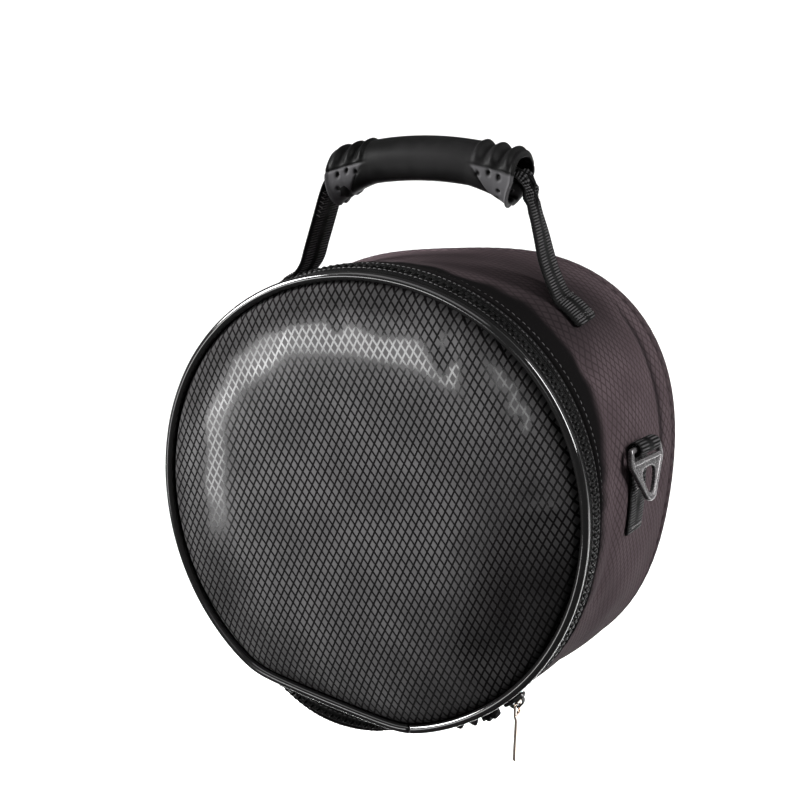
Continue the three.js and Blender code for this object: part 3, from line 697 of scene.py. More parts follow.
PUCKERS = [(153.6, 1.0, 5.6), (157.6, 1.2, 4.8)]  # turn, width, height
# The whole hinge strip is darkened by painted shade.
HINGE_SHADE = 0.85
hinge_turns = np.linspace(ZIP_END + 0.2, 179.8, 130)
depths = np.linspace(TAPE_FRONT, FOLD_Y - SEAM_GAP, 26)
turn, y = np.meshgrid(hinge_turns, depths, indexing="ij")
puckers = sum(rise * bell(turn, at, width) for at, width, rise in PUCKERS) * bell(y, COIL_Y - 4.0, 4.0)
waves = 0.5 * np.sin(depths * 0.9) * bell(depths, COIL_Y, 8.0)
hinge_points = band_points(hinge_turns, depths, HINGE, waves + puckers)
hinge_painted_shade = {"painted_shade": np.full(hinge_points.shape[:2], HINGE_SHADE)}
hinge_cloth = band_cloth(hinge_turns, depths)
hinge = place(grid_mesh("hinge_strip", hinge_points, False, True, hinge_cloth, hinge_painted_shade), wall_material)
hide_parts("lid_hinge")
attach(hinge, "bag")

# Zip coil: a nylon coil sewn along each tape's edge. Its turns show as short bars that mesh from both
# sides, on a flat core.
TOOTH_PITCH = 1.75
TOOTH_STEPS, TOOTH_SIDES = 7, 8
TOOTH_WIDE, TOOTH_HIGH = 0.72, 0.55  # half sizes of a tooth's section
TOOTH_PAST, EDGE_IN = 0.8, 0.1  # how far a tooth reaches past the coil's middle, and starts inside its edge
tooth_count = int(arc(ZIP_END - ZIP_START) / TOOTH_PITCH)


def coil_teeth(count):
    """One bar for each turn of the coil, from alternate sides: along it the depth runs from its outer end
    past the middle, and its section is an ellipse that narrows to a point at both ends."""
    tooth = np.arange(count)[:, None, None]
    turn = ZIP_START + (ZIP_END - ZIP_START) * (tooth + 0.5) / count
    side = np.where(tooth % 2 == 0, 1.0, -1.0)
    t = np.linspace(0, 1, TOOTH_STEPS)[:, None]
    around = circle(TOOTH_SIDES)
    girth = np.sqrt(np.maximum(0, 1 - (2 * t - 1) ** 6))
    y = COIL_Y + side * (COIL_WIDTH / 2 - EDGE_IN - t * (COIL_WIDTH / 2 - EDGE_IN + TOOTH_PAST))
    sideways = np.degrees(TOOTH_WIDE * girth * np.cos(around) / MEAN_R)
    arch = 0.35 + 0.45 * np.sin(np.pi * np.clip(t, 0, 0.8))
    radius = bag_radius(turn, COIL_Y) + arch + TOOTH_HIGH * girth * np.sin(around)
    return round_drum(turn + sideways, radius, y)


def repeat_quads(count, rows, columns):
    """Quads of that many like tubes, stored one after another."""
    one = grid_quads(rows, columns, False, True)
    return (np.arange(count)[:, None, None] * rows * columns + one).reshape(-1, 4)


teeth = coil_teeth(tooth_count)
depths = np.linspace(COIL_Y - COIL_WIDTH / 2, COIL_Y + COIL_WIDTH / 2, 9)
core = band_points(zip_turns, depths, TAPE, 0.25 * bell(depths, COIL_Y, 2.0))
coil_points = np.concatenate([teeth.reshape(-1, 3), core.reshape(-1, 3)])
coil_quads = np.concatenate([
    repeat_quads(tooth_count, TOOTH_STEPS, TOOTH_SIDES),
    grid_quads(*core.shape[:2], False, True) + teeth.size // 3,
])


def nylon(name, dark, pale, rough, index=1.45):
    """Plain moulded or drawn plastic: satin, with a slow change of tone and fine scratches."""
    grain = (2200.0, 2.0, 0.25, 0.0001)
    return finish(name, dark, pale, (rough, rough + 0.12), (60.0, 4.0), grain, IOR=index)


coil_material = nylon("coil_nylon", (0.003, 0.003, 0.003), (0.007, 0.007, 0.007), 0.3, 1.13)
coil = place(quad_mesh("coil_turns", coil_points, coil_quads), coil_material)
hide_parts("zip_coil")
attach(coil, "bag")

# Zip slider and end tab: the slider is cast, enamelled black and runs on the coil, with a bridge for the
# pull. The end tab is the tape's end, folded and sewn down beside the coil's end.
SLIDER_TURN = 141.8
SLIDER_FOOT, BRIDGE_BAR = 1.3, 4.6  # above the bag's outside: the slider's underside, and the pull's bar
TAB_TURN, TAB_LIFT = ZIP_END + 2.2, 0.4


def on_wall(turn, lift, points):
    """Local points, whose X runs along the drum's turn, Y back and Z outwards, put on the zip with a
    lift."""
    a = np.radians(turn)
    axes = np.array([[np.cos(a), 0, -np.sin(a)], [0, 1, 0], [np.sin(a), 0, np.cos(a)]])
    return points @ axes + round_drum(turn, bag_radius(turn, COIL_Y) + lift, COIL_Y)


def unit(vectors):
    """Those directions, each of length one."""
    return vectors / np.linalg.norm(vectors, axis=-1, keepdims=True)


def bar_along(path, across, out, half_wide, half_thick, square, sides):
    """A bar along a path: at each point a section of half_wide by half_thick along two given directions, an
    ellipse drawn towards a rectangle as square goes from one to nought."""
    a = circle(sides) + np.pi / sides
    u = np.sign(np.cos(a)) * np.abs(np.cos(a)) ** square
    v = np.sign(np.sin(a)) * np.abs(np.sin(a)) ** square
    wide = np.asarray(half_wide)[..., None, None] * u[:, None]
    thick = np.asarray(half_thick)[..., None, None] * v[:, None]
    return path[:, None] + wide * np.asarray(across) + thick * np.asarray(out)[..., None, :]


def tube_ends(points):
    """The grid with a row more at each end, in which its section shrinks to a point."""
    first, last = (np.broadcast_to(row.mean(0), row.shape) for row in (points[0], points[-1]))
    return np.concatenate([first[None], points, last[None]])


def join_grids(grids, loops=()):
    """Points and quads of several tubes as one set. loops are the numbers of those that close on
    themselves."""
    points, quads, count = [], [], 0
    for number, grid in enumerate(grids):
        points.append(grid.reshape(-1, 3))
        quads.append(grid_quads(*grid.shape[:2], number in loops, True) + count)
        count += len(points[-1])
    return np.concatenate(points), np.concatenate(quads)


def flat_bar(x, half_wide, middle, half_thick, square, sides):
    """A bar along local X with a width, a middle height and a thickness at each station."""
    path = np.stack([x, 0 * x, middle + 0 * x], -1)
    return tube_ends(bar_along(path, (0, 1, 0), (0, 0, 1), half_wide, half_thick, square, sides))


t = np.linspace(-1, 1, 31)
ends = np.sqrt(np.maximum(0.02, 1 - t**12))
shoulders = 2.7 + 1.5 * smooth(t, -0.95, -0.2)
slider_body = flat_bar(6.0 * t, shoulders * ends, 1.05, 0.95 * ends + 0.1, 0.35, 24)
slider_wing = flat_bar(5.6 * t, (shoulders - 0.7) * ends, 2.1, 0.35 * ends, 0.5, 20)
rise = np.linspace(0, np.pi, 25)
bridge_line = np.stack([-3.75 * np.cos(rise), 0 * rise, 1.7 + 3.55 * np.sin(rise) ** 0.55], -1)
lean = unit(np.gradient(bridge_line, axis=0))
upright = np.stack([-lean[:, 2], 0 * rise, lean[:, 0]], -1)
slider_bridge = tube_ends(bar_along(bridge_line, (0, 1, 0), upright, 1.5, 0.55, 0.6, 14))
slider_points, slider_quads = join_grids([slider_body, slider_wing, slider_bridge])
slider_mesh = quad_mesh("slider_body", on_wall(SLIDER_TURN, SLIDER_FOOT, slider_points), slider_quads)
slider = place(slider_mesh, nylon("black_enamel", (0.01, 0.01, 0.01), (0.022, 0.021, 0.021), 0.22))
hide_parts("zip_slider")
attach(slider, "bag")

t = np.linspace(-1, 1, 41)
ends = np.sqrt(np.maximum(0.03, 1 - t**8))
bulge = 2.2 + 0.45 * np.sin(7.0 * t + 0.8)
tab_points = flat_bar(4.1 * t, (4.4 + 0.15 * np.sin(9 * t)) * ends, bulge, bulge * ends, 0.45, 24)
tab_cloth = flat_map(np.linspace(0, 8.4, 43), np.linspace(0, 18, 25))
tab_mesh = grid_mesh("end_tab_fold", on_wall(TAB_TURN, TAB_LIFT, tab_points), False, True, tab_cloth)
end_tab = place(tab_mesh, tape_material)
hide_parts("zip_end_tab")
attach(end_tab, "bag")

# Zip pull: a slim strip of zinc with a warm nickel plate, dulled a little by handling.
# It is forked at the top round the slider's bridge, and hangs straight down.
PULL_TOP, PULL_LENGTH = 5.4, 31.0  # below the bar that it hangs by


def hanging_bar(path, half_wide, half_thick):
    """A bar down a path in the pull's plane, whose thickness lies along X."""
    run = unit(np.gradient(path, axis=0))
    wide = np.stack([0 * run[:, 0], -run[:, 2], run[:, 1]], -1)
    return tube_ends(bar_along(path, (1, 0, 0), wide, half_thick, half_wide, 0.28, 20))


down = np.linspace(PULL_TOP, PULL_LENGTH, 40)
pull_half = 1.9 + 0.8 * smooth(down, 10.0, 25.0) + 1.7 * (1 - smooth(down, PULL_TOP, 9.5))
pull_half = pull_half * np.sqrt(np.clip((PULL_LENGTH - down) / 1.8, 0.02, 1))
pull_thick = 0.75 * np.sqrt(np.clip((PULL_LENGTH - down) / 0.8, 0.1, 1))
blade = hanging_bar(np.stack([0 * down, 0 * down, -down], -1), pull_half, pull_thick)
fall, across = np.linspace(0.1, -6.6, 12), np.linspace(-3.3, 3.3, 12)
prongs = [hanging_bar(np.stack([0 * fall, y + 0 * fall, fall], -1), 0.7, 0.62) for y in (-2.9, 2.9)]
top_bar = hanging_bar(np.stack([0 * across, across, 0 * across], -1), 0.6, 0.6)
pull_points, pull_quads = join_grids([blade, *prongs, top_bar])
pull_points = pull_points + round_drum(SLIDER_TURN, bag_radius(SLIDER_TURN, COIL_Y) + BRIDGE_BAR, COIL_Y)
pull_material = finish(
    "warm_nickel", (0.62, 0.5, 0.42), (0.8, 0.7, 0.62), (0.1, 0.24), (180.0, 4.0), hazy=True, Metallic=1.0,
)
pull = place(quad_mesh("pull_strip", pull_points, pull_quads), pull_material)
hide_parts("zip_pull")
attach(pull, "pull")

# Handle webbing: one length of ribbed polypropylene webbing, both ends sewn flat to the wall. It runs
# through the moulded grip, and its right leg is drawn together in folds where it leaves the grip.
WEBBING, WEBBING_HALF = 1.8, 10.0
RIB_PITCH, RIB_RISE = 1.4, 0.34
GRIP_HALF, GRIP_ARCH, GRIP_TILT = 50.0, 7.6, 3.6
RIGHT_LEG = [(66.2, -49.5), (62.6, -40.5), (59.7, -30.5), (56.9, -21.5), (54.4, -14.0), (52.3, -8.0)]
LEFT_LEG = [(-47.0, -13.2), (-49.4, -19.0), (-51.8, -27.0), (-54.6, -36.5), (-57.6, -46.5), (-60.2, -55.0)]
LEG_TURN = np.radians(10.0)  # the left leg hangs turned to the front by this
LEFT_EXIT = -43.5  # where the webbing bends down inside the grip's left mouth
RIGHT_ANCHOR, LEFT_ANCHOR = [44.5, 42.0, 39.0, 36.0], [-34.5, -38.0, -42.0, -46.5]


def grip_height(x):
    """Height of the webbing's middle inside the grip: an arch that is higher at its right end."""
    share = x / GRIP_HALF
    return GRIP_TILT * share - GRIP_ARCH * share**2


def smooth_path(points, step):
    """A Catmull-Rom curve through points, as points along it a step apart, and how far along each lies."""
    p = np.concatenate([2 * points[:1] - points[1:2], points, 2 * points[-1:] - points[-2:-1]])
    u = np.linspace(0, 1, 40, endpoint=False)[None, :, None]
    a, b, c, d = (p[k:len(p) - 3 + k, None] for k in range(4))
    curve = b + 0.5 * u * (c - a + u * (2 * a - 5 * b + 4 * c - d + u * (3 * (b - c) + d - a)))
    curve = np.concatenate([curve.reshape(-1, points.shape[1]), points[-1:]])
    far = np.concatenate([[0], np.cumsum(np.linalg.norm(np.diff(curve, axis=0), axis=1))])
    at = np.linspace(0, far[-1], int(far[-1] / step) + 1)
    return np.stack([np.interp(at, far, column) for column in curve.T], -1), at


def anchor_line(turns):
    """The webbing's middle line where it lies on the wall, as X and Z."""
    turns = np.array(turns)
    return round_drum(turns, bag_radius(turns, 0.0) + 0.5 + WEBBING / 2, 0.0)[:, [0, 2]]


def webbing_section(columns):
    """Across the webbing and back: share of the half width, and plus one above or minus one below."""
    share = np.linspace(-1, 1, columns)
    return np.concatenate([share, share[::-1]]), np.repeat([1.0, -1.0], columns)


def webbing_relief(far, share):
    """Height of the ribs that cross the webbing, raised in two columns beside its middle line."""
    rib = np.abs(np.sin(np.pi * far / RIB_PITCH)) ** 0.7
    edge = 1 - smooth(np.abs(share), 0.86, 1.0)
    return RIB_RISE * rib * edge * (0.3 + 0.7 * np.sin(np.pi * share) ** 2)


def webbing_cloth(far, share, half):
    """Places on the flat webbing: along it, with both ends closed, and across it and back."""
    return flat_map(np.concatenate([far[:1], far, far[-1:]]), np.concatenate([half * share, [-half]]))


inside_x = np.linspace(GRIP_HALF, LEFT_EXIT, 11)
strap_line = np.concatenate([
    anchor_line(RIGHT_ANCHOR), RIGHT_LEG, np.stack([inside_x, grip_height(inside_x)], -1), LEFT_LEG,
    anchor_line(LEFT_ANCHOR),
])
strap_path, strap_far = smooth_path(strap_line, RIB_PITCH / 6)
strap_run = unit(np.gradient(strap_path, axis=0))
strap_out = np.stack([strap_run[:, 1], -strap_run[:, 0]], -1)
strap_share, strap_face = webbing_section(23)
path_x, path_z = strap_path.T
on_right = path_x > 0
from_end = np.minimum(strap_far, strap_far[-1] - strap_far)
in_grip = 1 - smooth(np.abs(path_x), 43, 47)
to_mouth = np.hypot(np.abs(path_x) - 51.5, path_z - grip_height(path_x) + 2.0)
drawn = (1 - smooth(to_mouth, 6, 34)) * (1 - in_grip) * on_right
bunched = (bell(to_mouth, 0, 9.0) * (1 - in_grip) * on_right)[:, None]
sewn = 1 - smooth(from_end, 13, 22)
half = WEBBING_HALF - 3.0 * drawn - 0.6 * in_grip
half = half * np.sqrt(np.clip(from_end / 3.0 + 0.55, 0, 1))
strap_y = half[:, None] * strap_share
strap_turn = np.degrees(np.arctan2(path_x, path_z - AXIS_Z))[:, None]
follow = sewn[:, None] * (bag_radius(strap_turn, strap_y) - bag_radius(strap_turn, 0.0))
pleats = 1.5 * np.sin(3.4 * np.pi * strap_share + 0.9) * (1 - strap_share**6)
pleats = pleats + 0.7 * np.sin(0.8 * strap_far[:, None] + 5 * strap_share)
crease = 1.4 * drawn[:, None] * (1 - np.abs(strap_share)) ** 1.2 + bunched * pleats
thick = WEBBING / 2 * (1 - 0.55 * smooth(np.abs(strap_share), 0.88, 1.0)) - 0.15
lift = follow + crease + strap_face * (thick + webbing_relief(strap_far[:, None], strap_share))
strap_xz = strap_path[:, None] + lift[..., None] * strap_out[:, None]
leg_turn = (LEG_TURN * (1 - in_grip) * (1 - sewn) * ~on_right)[:, None]
strap_x = strap_xz[..., 0] + strap_y * np.sin(leg_turn)
strap_points = closed_ends(np.stack([strap_x, strap_y * np.cos(leg_turn), strap_xz[..., 1]], -1))
strap_cloth = webbing_cloth(strap_far, strap_share, WEBBING_HALF)
webbing_material = woven_tape(
    "black_webbing", (0.001, 0.001, 0.001), (0.074, 0.072, 0.074), rib=RIB_PITCH, thread=0.8, column=10.0,
    relief=0.0002,
)
strap = place(grid_mesh("handle_strap", strap_points, False, True, strap_cloth), webbing_material)
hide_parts("handle_webbing")
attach(strap, "bag")

# Hand grip: a sleeve of soft moulded plastic on the webbing, satin black with a fine grain. It is arched,
# with rounded ridges on top near both ends, a paler flange below a parting line with moulded dimples, and
# ends that flare to a raised rim. The dimples are darkened with painted shade.
GRIP_SECTIONS = np.array([
    # share of the half length, half width, height above and depth below the webbing
    [0.0, 12.5, 11.5, 9.5],
    [0.5, 12.5, 11.5, 9.5],
    [0.8, 13.2, 12.0, 11.5],
    [1.0, 14.5, 12.5, 13.5],
])
RIDGE_HEIGHT, RIDGE_PITCH, RIDGE_CREST, RIDGE_FROM = 1.2, 8.0, 46.0, 27.0
PARTING, FLANGE_FROM, FLANGE_TO = 12.0, 27.0, 46.0  # the parting line's angle, and where the flange deepens
CHANNEL_WIDE, CHANNEL_HIGH = 10.4, 1.6
RIGHT_SLANT, LEFT_SLANT, LEFT_SHORT = 0.38, 0.2, 3.5
PIT_DEEP, PIT_R = 1.6, 0.95
DIMPLES = [
    # distance from the middle, angle up from the level, on each end's front and back
    (32.0, -3.0), (37.4, 3.5), (42.8, 1.0), (44.0, -26.0), (43.6, -52.0),
]
MOUTH_DEEP = 7.0
MOUTH = [
    # share of the way from the rim in to the slot, how far inside the end
    (0.1, 0.0), (0.16, 0.8), (0.19, 3.0), (0.22, 6.0), (0.3, MOUTH_DEEP), (0.6, 7.2),
]


def grip_size(x, column):
    """One of the sleeve's sizes at a distance from the middle, straight between the sections."""
    return np.interp(np.abs(x) / GRIP_HALF, GRIP_SECTIONS[:, 0], GRIP_SECTIONS[:, column])


def flange_edge(x):
    """Angle of the flange's lower edge: it leaves the level near the middle and drops towards the ends."""
    return 6.0 - 95.0 * smooth(np.abs(x), FLANGE_FROM, FLANGE_TO)


def signed_power(x, power):
    """A power of the size of x, with the sign of x."""
    return np.sign(x) * np.abs(x) ** power


def on_grip(x, y, rise):
    """Points at a rise above the webbing: each end's lower half is cut back as it goes down, and the left
    end is shorter."""
    slant = np.where(x > 0, RIGHT_SLANT, LEFT_SLANT) * np.minimum(rise, 0) * (x / GRIP_HALF) ** 3
    along = x + slant + LEFT_SHORT * smooth(-x, 20.0, GRIP_HALF)
    return np.stack(np.broadcast_arrays(along, y, grip_height(x) + rise), -1)


def grip_outside(x, up, side):
    """Points of the sleeve: an ellipse squared off a little, with ridges on top, the flange stepped out below
    its parting line, dimples along it, and a rim round each end. Returns the points and the flange's share,
    which falls to nought in the dimples so that they take the sleeve's black as painted shade."""
    far = np.abs(x)
    wave = np.cos(2 * np.pi * (far - RIDGE_CREST) / RIDGE_PITCH)
    ridge = RIDGE_HEIGHT * wave * smooth(far, RIDGE_FROM, RIDGE_FROM + 3) * smooth(up, 0.1, 0.7)
    tilt = np.degrees(np.arctan2(up, np.abs(side)))
    over_edge = tilt - flange_edge(x)
    flange = smooth(PARTING - tilt, 0, 3) * smooth(over_edge, 0, 4) * smooth(far, FLANGE_FROM, 30)
    groove = 0.55 * bell(tilt, PARTING, 3.0) * smooth(far, 24, 32)
    groove = groove + 0.45 * bell(over_edge, 0, 4.0) * smooth(far, 28, 32)
    pits = sum(bell(np.hypot(far - at, 0.22 * (tilt - lean)), 0, PIT_R) for at, lean in DIMPLES)
    rim = 0.9 * bell(far, GRIP_HALF - 0.9, 0.8) - 1.4 * smooth(far, GRIP_HALF - 0.7, GRIP_HALF)
    grow = ridge + 0.3 * flange - groove - PIT_DEEP * pits + rim
    rise = (np.where(up > 0, grip_size(x, 2), grip_size(x, 3)) + grow) * signed_power(up, 0.85)
    y = (grip_size(x, 1) + grow) * signed_power(side, 0.85)
    # Painted shade: the dimples take the sleeve's black instead of the paler flange colour.
    return on_grip(x, y, rise), flange * (1 - smooth(pits, 0.1, 0.5))


grip_angle = np.radians(np.linspace(-180, 180, 161)[:-1] + 1.0)
up, side = np.sin(grip_angle), np.cos(grip_angle)
grip_x = GRIP_HALF * np.sin(np.linspace(-np.pi / 2, np.pi / 2, 241))[:, None]
sleeve, flange_less_pit_shade = grip_outside(grip_x, up, side)
channel_x = np.linspace(GRIP_HALF - MOUTH_DEEP, MOUTH_DEEP - GRIP_HALF, 15)[:, None]
channel = on_grip(channel_x, CHANNEL_WIDE * signed_power(side, 0.15), CHANNEL_HIGH * signed_power(up, 0.15))
right_mouth = [sleeve[-1] + s * (channel[0] - sleeve[-1]) - (deep, 0, 0) for s, deep in MOUTH]
left_mouth = [sleeve[0] + s * (channel[-1] - sleeve[0]) + (deep, 0, 0) for s, deep in MOUTH[::-1]]
grip_points = np.concatenate([sleeve, right_mouth, channel, left_mouth])
flange = np.zeros(grip_points.shape[:2])
flange[:len(sleeve)] = flange_less_pit_shade
grip_material = finish(
    "black_soft_plastic", (0.003, 0.003, 0.003), (0.007, 0.0068, 0.007), (0.42, 0.54), (45.0, 4.0),
    grain=(2600.0, 2.0, 0.3, 0.0002), patch=("flange", (0.04, 0.039, 0.041)), IOR=1.12,
)
grip = place(grid_mesh("grip_sleeve", grip_points, True, True, values={"flange": flange}), grip_material)
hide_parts("hand_grip")
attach(grip, "bag")

# Ring tabs: a short piece of webbing on each side, sewn flat to the wall, whose top is folded into a loop
# for a triangular ring. The loop is turned a little, so that its rear edge stands further off the wall.
SIDES = (("right", 1), ("left", -1))
TAB = 1.6
TAB_HALF, TAB_WIDE = 7.6, 9.0  # where the loop meets the wall, and the webbing's own half width
TAB_LOW, TAB_HIGH, BAR_TURN = 97.0, 84.0, 75.0
LOOP_INNER, LOOP_END = 2.2, -100.0
LOOP_GAP = 9.5  # length of webbing between the wall and the loop
RING_YAW = 12.0
YAW = np.tan(np.radians(RING_YAW))


def bar_middle(side):
    """Middle of the ring's bar: the loop's front edge just clears the wall there."""
    wall_at = round_drum(side * BAR_TURN, bag_radius(side * BAR_TURN, -TAB_HALF), 0.0)
    return wall_at + np.array([side * (0.6 + LOOP_INNER + TAB + TAB_HALF * YAW), 0, 0])


def loop_points(side):
    """The tab from its sewn end up the wall, then round the bar: a closed section at each step along it.
    Returns the points and their places on the flat webbing."""
    share, face = webbing_section(15)
    y = TAB_WIDE * share
    turns = np.linspace(TAB_LOW, TAB_HIGH, 90)
    flat_far = arc(TAB_LOW - turns)
    angles = np.radians(np.linspace(180, LOOP_END, 160))[:, None]
    loop_far = flat_far[-1] + LOOP_GAP + (np.pi - angles[:, 0]) * (LOOP_INNER + TAB / 2)
    thick = TAB / 2 * (1 - 0.5 * smooth(np.abs(share), 0.88, 1.0)) - 0.12
    flat_rise, loop_rise = (
        face * (thick + 0.8 * webbing_relief(far[:, None], share)) for far in (flat_far, loop_far)
    )
    turns = side * turns[:, None]
    lying = round_drum(turns, bag_radius(turns, y) + 0.45 + TAB / 2 + flat_rise, y)
    bar = bar_middle(side)
    radius = LOOP_INNER + TAB / 2 - loop_rise
    x = bar[0] + side * (y * YAW + radius * np.cos(angles))
    loop = np.stack(np.broadcast_arrays(x, y, bar[2] + radius * np.sin(angles)), -1)
    s = np.linspace(0, 1, 26)[1:-1]
    bow = lying[-1] + s[:, None, None] * (loop[0] - lying[-1])
    far = np.concatenate([flat_far, flat_far[-1] + LOOP_GAP * s, loop_far])
    return closed_ends(np.concatenate([lying, bow, loop])), webbing_cloth(far, share, TAB_WIDE)


for name, side in SIDES:
    points, cloth = loop_points(side)
    tab = place(grid_mesh(f"ring_loop_{name}", points, False, True, cloth), webbing_material)
    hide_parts(f"ring_tab_{name}")
    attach(tab, "bag")

# Triangular rings: cast metal in a satin grey finish with a fine grain. A round-edged frame runs about a
# slot for the tab and a flat plate with a drop-shaped eye, and the plate lies a little below the frame's
# rim.
RING_TILT = 11.0
FRAME_R, CROSSBAR_Z, CROSSBAR_HALF = 1.3, -6.4, 12.8
FRAME_LINE = np.array([
    # across, up from the bar's middle: one half of the frame's middle line, from the bar's middle to the apex
    (0.0, 0.0), (10.6, 0.0), (12.0, -0.6), (12.45, -2.2), (12.85, -4.6), (13.15, -6.5), (12.6, -8.2),
    (10.7, -11.1), (6.8, -17.5), (3.9, -22.3), (2.3, -24.5), (0.0, -25.3),
])
EYE_LINE = np.array([
    # one half of the eye's edge, from the middle of its top to its lowest point
    (0.0, -9.9), (3.4, -10.1), (5.3, -11.2), (5.9, -13.0),
    (5.3, -15.6), (3.6, -19.4), (2.1, -21.7), (0.0, -22.6),
])
EYE_MIDDLE = np.array([0.0, -15.5])
PLATE = np.array([
    # share of the way from the eye to the frame, half thickness
    (0.0, 0.3), (0.0, 0.8), (0.06, 1.0), (0.16, 1.05), (0.4, 1.05), (0.6, 1.0), (0.72, 0.95), (0.95, 0.6),
])


def both_halves(half):
    """A closed line from one half of it, from the middle of its top to the middle of its bottom."""
    return np.concatenate([half, half[-2:0:-1] * (-1, 1)])


def reach(line, angle):
    """How far a closed line lies from the eye's middle in each direction, straight between its points."""
    u = np.linspace(0, 1, 30, endpoint=False)[:, None, None]
    dense = (line + u * (np.roll(line, -1, 0) - line)).reshape(-1, 2) - EYE_MIDDLE
    at = np.arctan2(dense[:, 1], dense[:, 0])
    order = np.argsort(at)
    return np.interp(angle, at[order], np.hypot(*dense.T)[order], period=2 * np.pi)


def ring_parts():
    """Local points and quads of the ring, with X across, Y up and Z out of its face: the frame as a closed
    tube, a crossbar under the slot, and the plate as a closed skin between the eye and the frame, with a
    lip round the eye."""
    whole = both_halves(FRAME_LINE)
    path, _ = smooth_path(np.concatenate([whole[-2:], whole, whole[:3]]), 0.4)
    start = np.argmin(np.hypot(*(path[:60] - whole[0]).T))
    length = np.argmin(np.hypot(*(path[start + 60:] - path[start]).T)) + 60
    path = path[start:start + length]
    run = unit(np.roll(path, -1, 0) - np.roll(path, 1, 0))
    line = np.concatenate([path, 0 * path[:, :1]], 1)
    outward = np.stack([run[:, 1], -run[:, 0], 0 * run[:, 0]], -1)
    frame_tube = bar_along(line, (0, 0, 1), outward, FRAME_R, FRAME_R, 0.6, 16)
    x = np.linspace(-CROSSBAR_HALF, CROSSBAR_HALF, 24)
    bar_line = np.stack([x, CROSSBAR_Z + 0 * x, 0 * x], -1)
    crossbar = tube_ends(bar_along(bar_line, (0, 0, 1), (0, 1, 0), 1.25, FRAME_R, 0.6, 16))
    a = circle(120)
    below = np.stack([path[:, 0], np.minimum(path[:, 1], CROSSBAR_Z)], -1)
    inner, outer = reach(both_halves(EYE_LINE), a), reach(below, a)
    share, lip = PLATE.T[..., None]
    far = inner + share * (outer - inner)
    skin = np.stack([EYE_MIDDLE[0] + far * np.cos(a), EYE_MIDDLE[1] + far * np.sin(a), lip + 0 * a], -1)
    plate = np.concatenate([skin, (skin * (1, 1, -1))[::-1]])
    return join_grids([frame_tube, crossbar, plate], loops=(0, 2))


ring_local, ring_quads = ring_parts()
ring_material = finish(
    "cast_grey_metal", (0.1, 0.096, 0.098), (0.15, 0.143, 0.146), (0.18, 0.3), (120.0, 4.0),
    grain=(1500.0, 3.0, 0.2, 0.0002), speckled=True, Metallic=0.55,
)
yaw, tilt = np.radians([RING_YAW, RING_TILT])
for name, side in SIDES:
    level = np.array([side * np.sin(yaw), np.cos(yaw), 0])
    out = np.array([side * np.cos(yaw), -np.sin(yaw), 0])
    up = np.array([0, 0, np.cos(tilt)]) - np.sin(tilt) * out
    face = np.cos(tilt) * out + np.array([0, 0, np.sin(tilt)])
    points = bar_middle(side) + ring_local @ np.stack([level, up, face])
    ring = place(quad_mesh(f"strap_ring_{name}", points, ring_quads), ring_material)
    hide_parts(f"tri_ring_{name}")
    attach(ring, f"ring_{name}")

# Stitching: polyester thread in runs of single stitches, along the hem and the tapes and across the
# anchors. A paler, worn thread tacks the edge of the handle's left leg and the two tabs.
THREAD_R = 0.26
THREAD_STEPS, THREAD_SIDES = 7, 6
TAPE_ROWS = [
    # depth, height above the bag's outside, pitch
    (TAPE_FRONT + 1.0, 0.35, 3.0),
    (COIL_Y - 4.6, 0.3, 2.6),
    (COIL_Y + 4.6, 0.3, 2.6),
]
ANCHOR_ROWS, TAB_ROWS = (43.4, 42.6, 37.2, -37.2, -44.6, -45.4), (95.4, 85.6)  # turns
TACK_DROP = 18.5  # how far the tack is below the grip's middle


def stitch_runs(starts, stops, outs, bulge):
    """One rounded bar for each stitch: from its start to its stop, bowed outwards, with a round section
    that narrows at both ends. All stitches are worked out as one array."""
    t = np.linspace(0, 1, THREAD_STEPS)[:, None, None]
    around = circle(THREAD_SIDES)[:, None]
    a, b, n = (v[:, None, None, :] for v in (starts, stops, outs))
    wide = np.cross(unit(b - a), n)
    girth = THREAD_R * np.sqrt(np.maximum(0.0, 1 - (2 * t - 1) ** 4))
    middle = a + t * (b - a) + n * bulge * np.sin(np.pi * t)
    return middle + girth * (np.cos(around) * wide + np.sin(around) * n)


def stitch_piece(name, runs, material):
    """One piece from several sets of stitches."""
    points = np.concatenate([run.reshape(-1, 3) for run in runs])
    count = len(points) // (THREAD_STEPS * THREAD_SIDES)
    piece = place(quad_mesh(name, points, repeat_quads(count, THREAD_STEPS, THREAD_SIDES)), material)
    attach(piece, "bag")


def outwards(turn):
    """The way out of the drum at each turn."""
    a = np.radians(turn)
    return np.stack([np.sin(a), 0 * a, np.cos(a)], -1)


def round_stitches(y, surface, first, last, pitch):
    """Stitches round the drum at one depth, on a surface that gives a radius for each turn."""
    count = int(arc(last - first) / pitch)
    turn = first + (last - first) * np.arange(count) / count
    step = 0.72 * (last - first) / count
    starts, stops = (round_drum(v, surface(v) + 0.05, y) for v in (turn, turn + step))
    return stitch_runs(starts, stops, outwards(turn + step / 2), 0.22)


def row_stitches(turn, ys, lift):
    """Stitches between neighbouring depths at one turn, on webbing of that height above the bag's
    outside."""
    turns = np.full(len(ys), turn)
    at = round_drum(turns, bag_radius(turns, ys) + lift, ys)
    return stitch_runs(at[:-1], at[:-1] + 0.75 * (at[1:] - at[:-1]), outwards(turns[:-1]), 0.2)


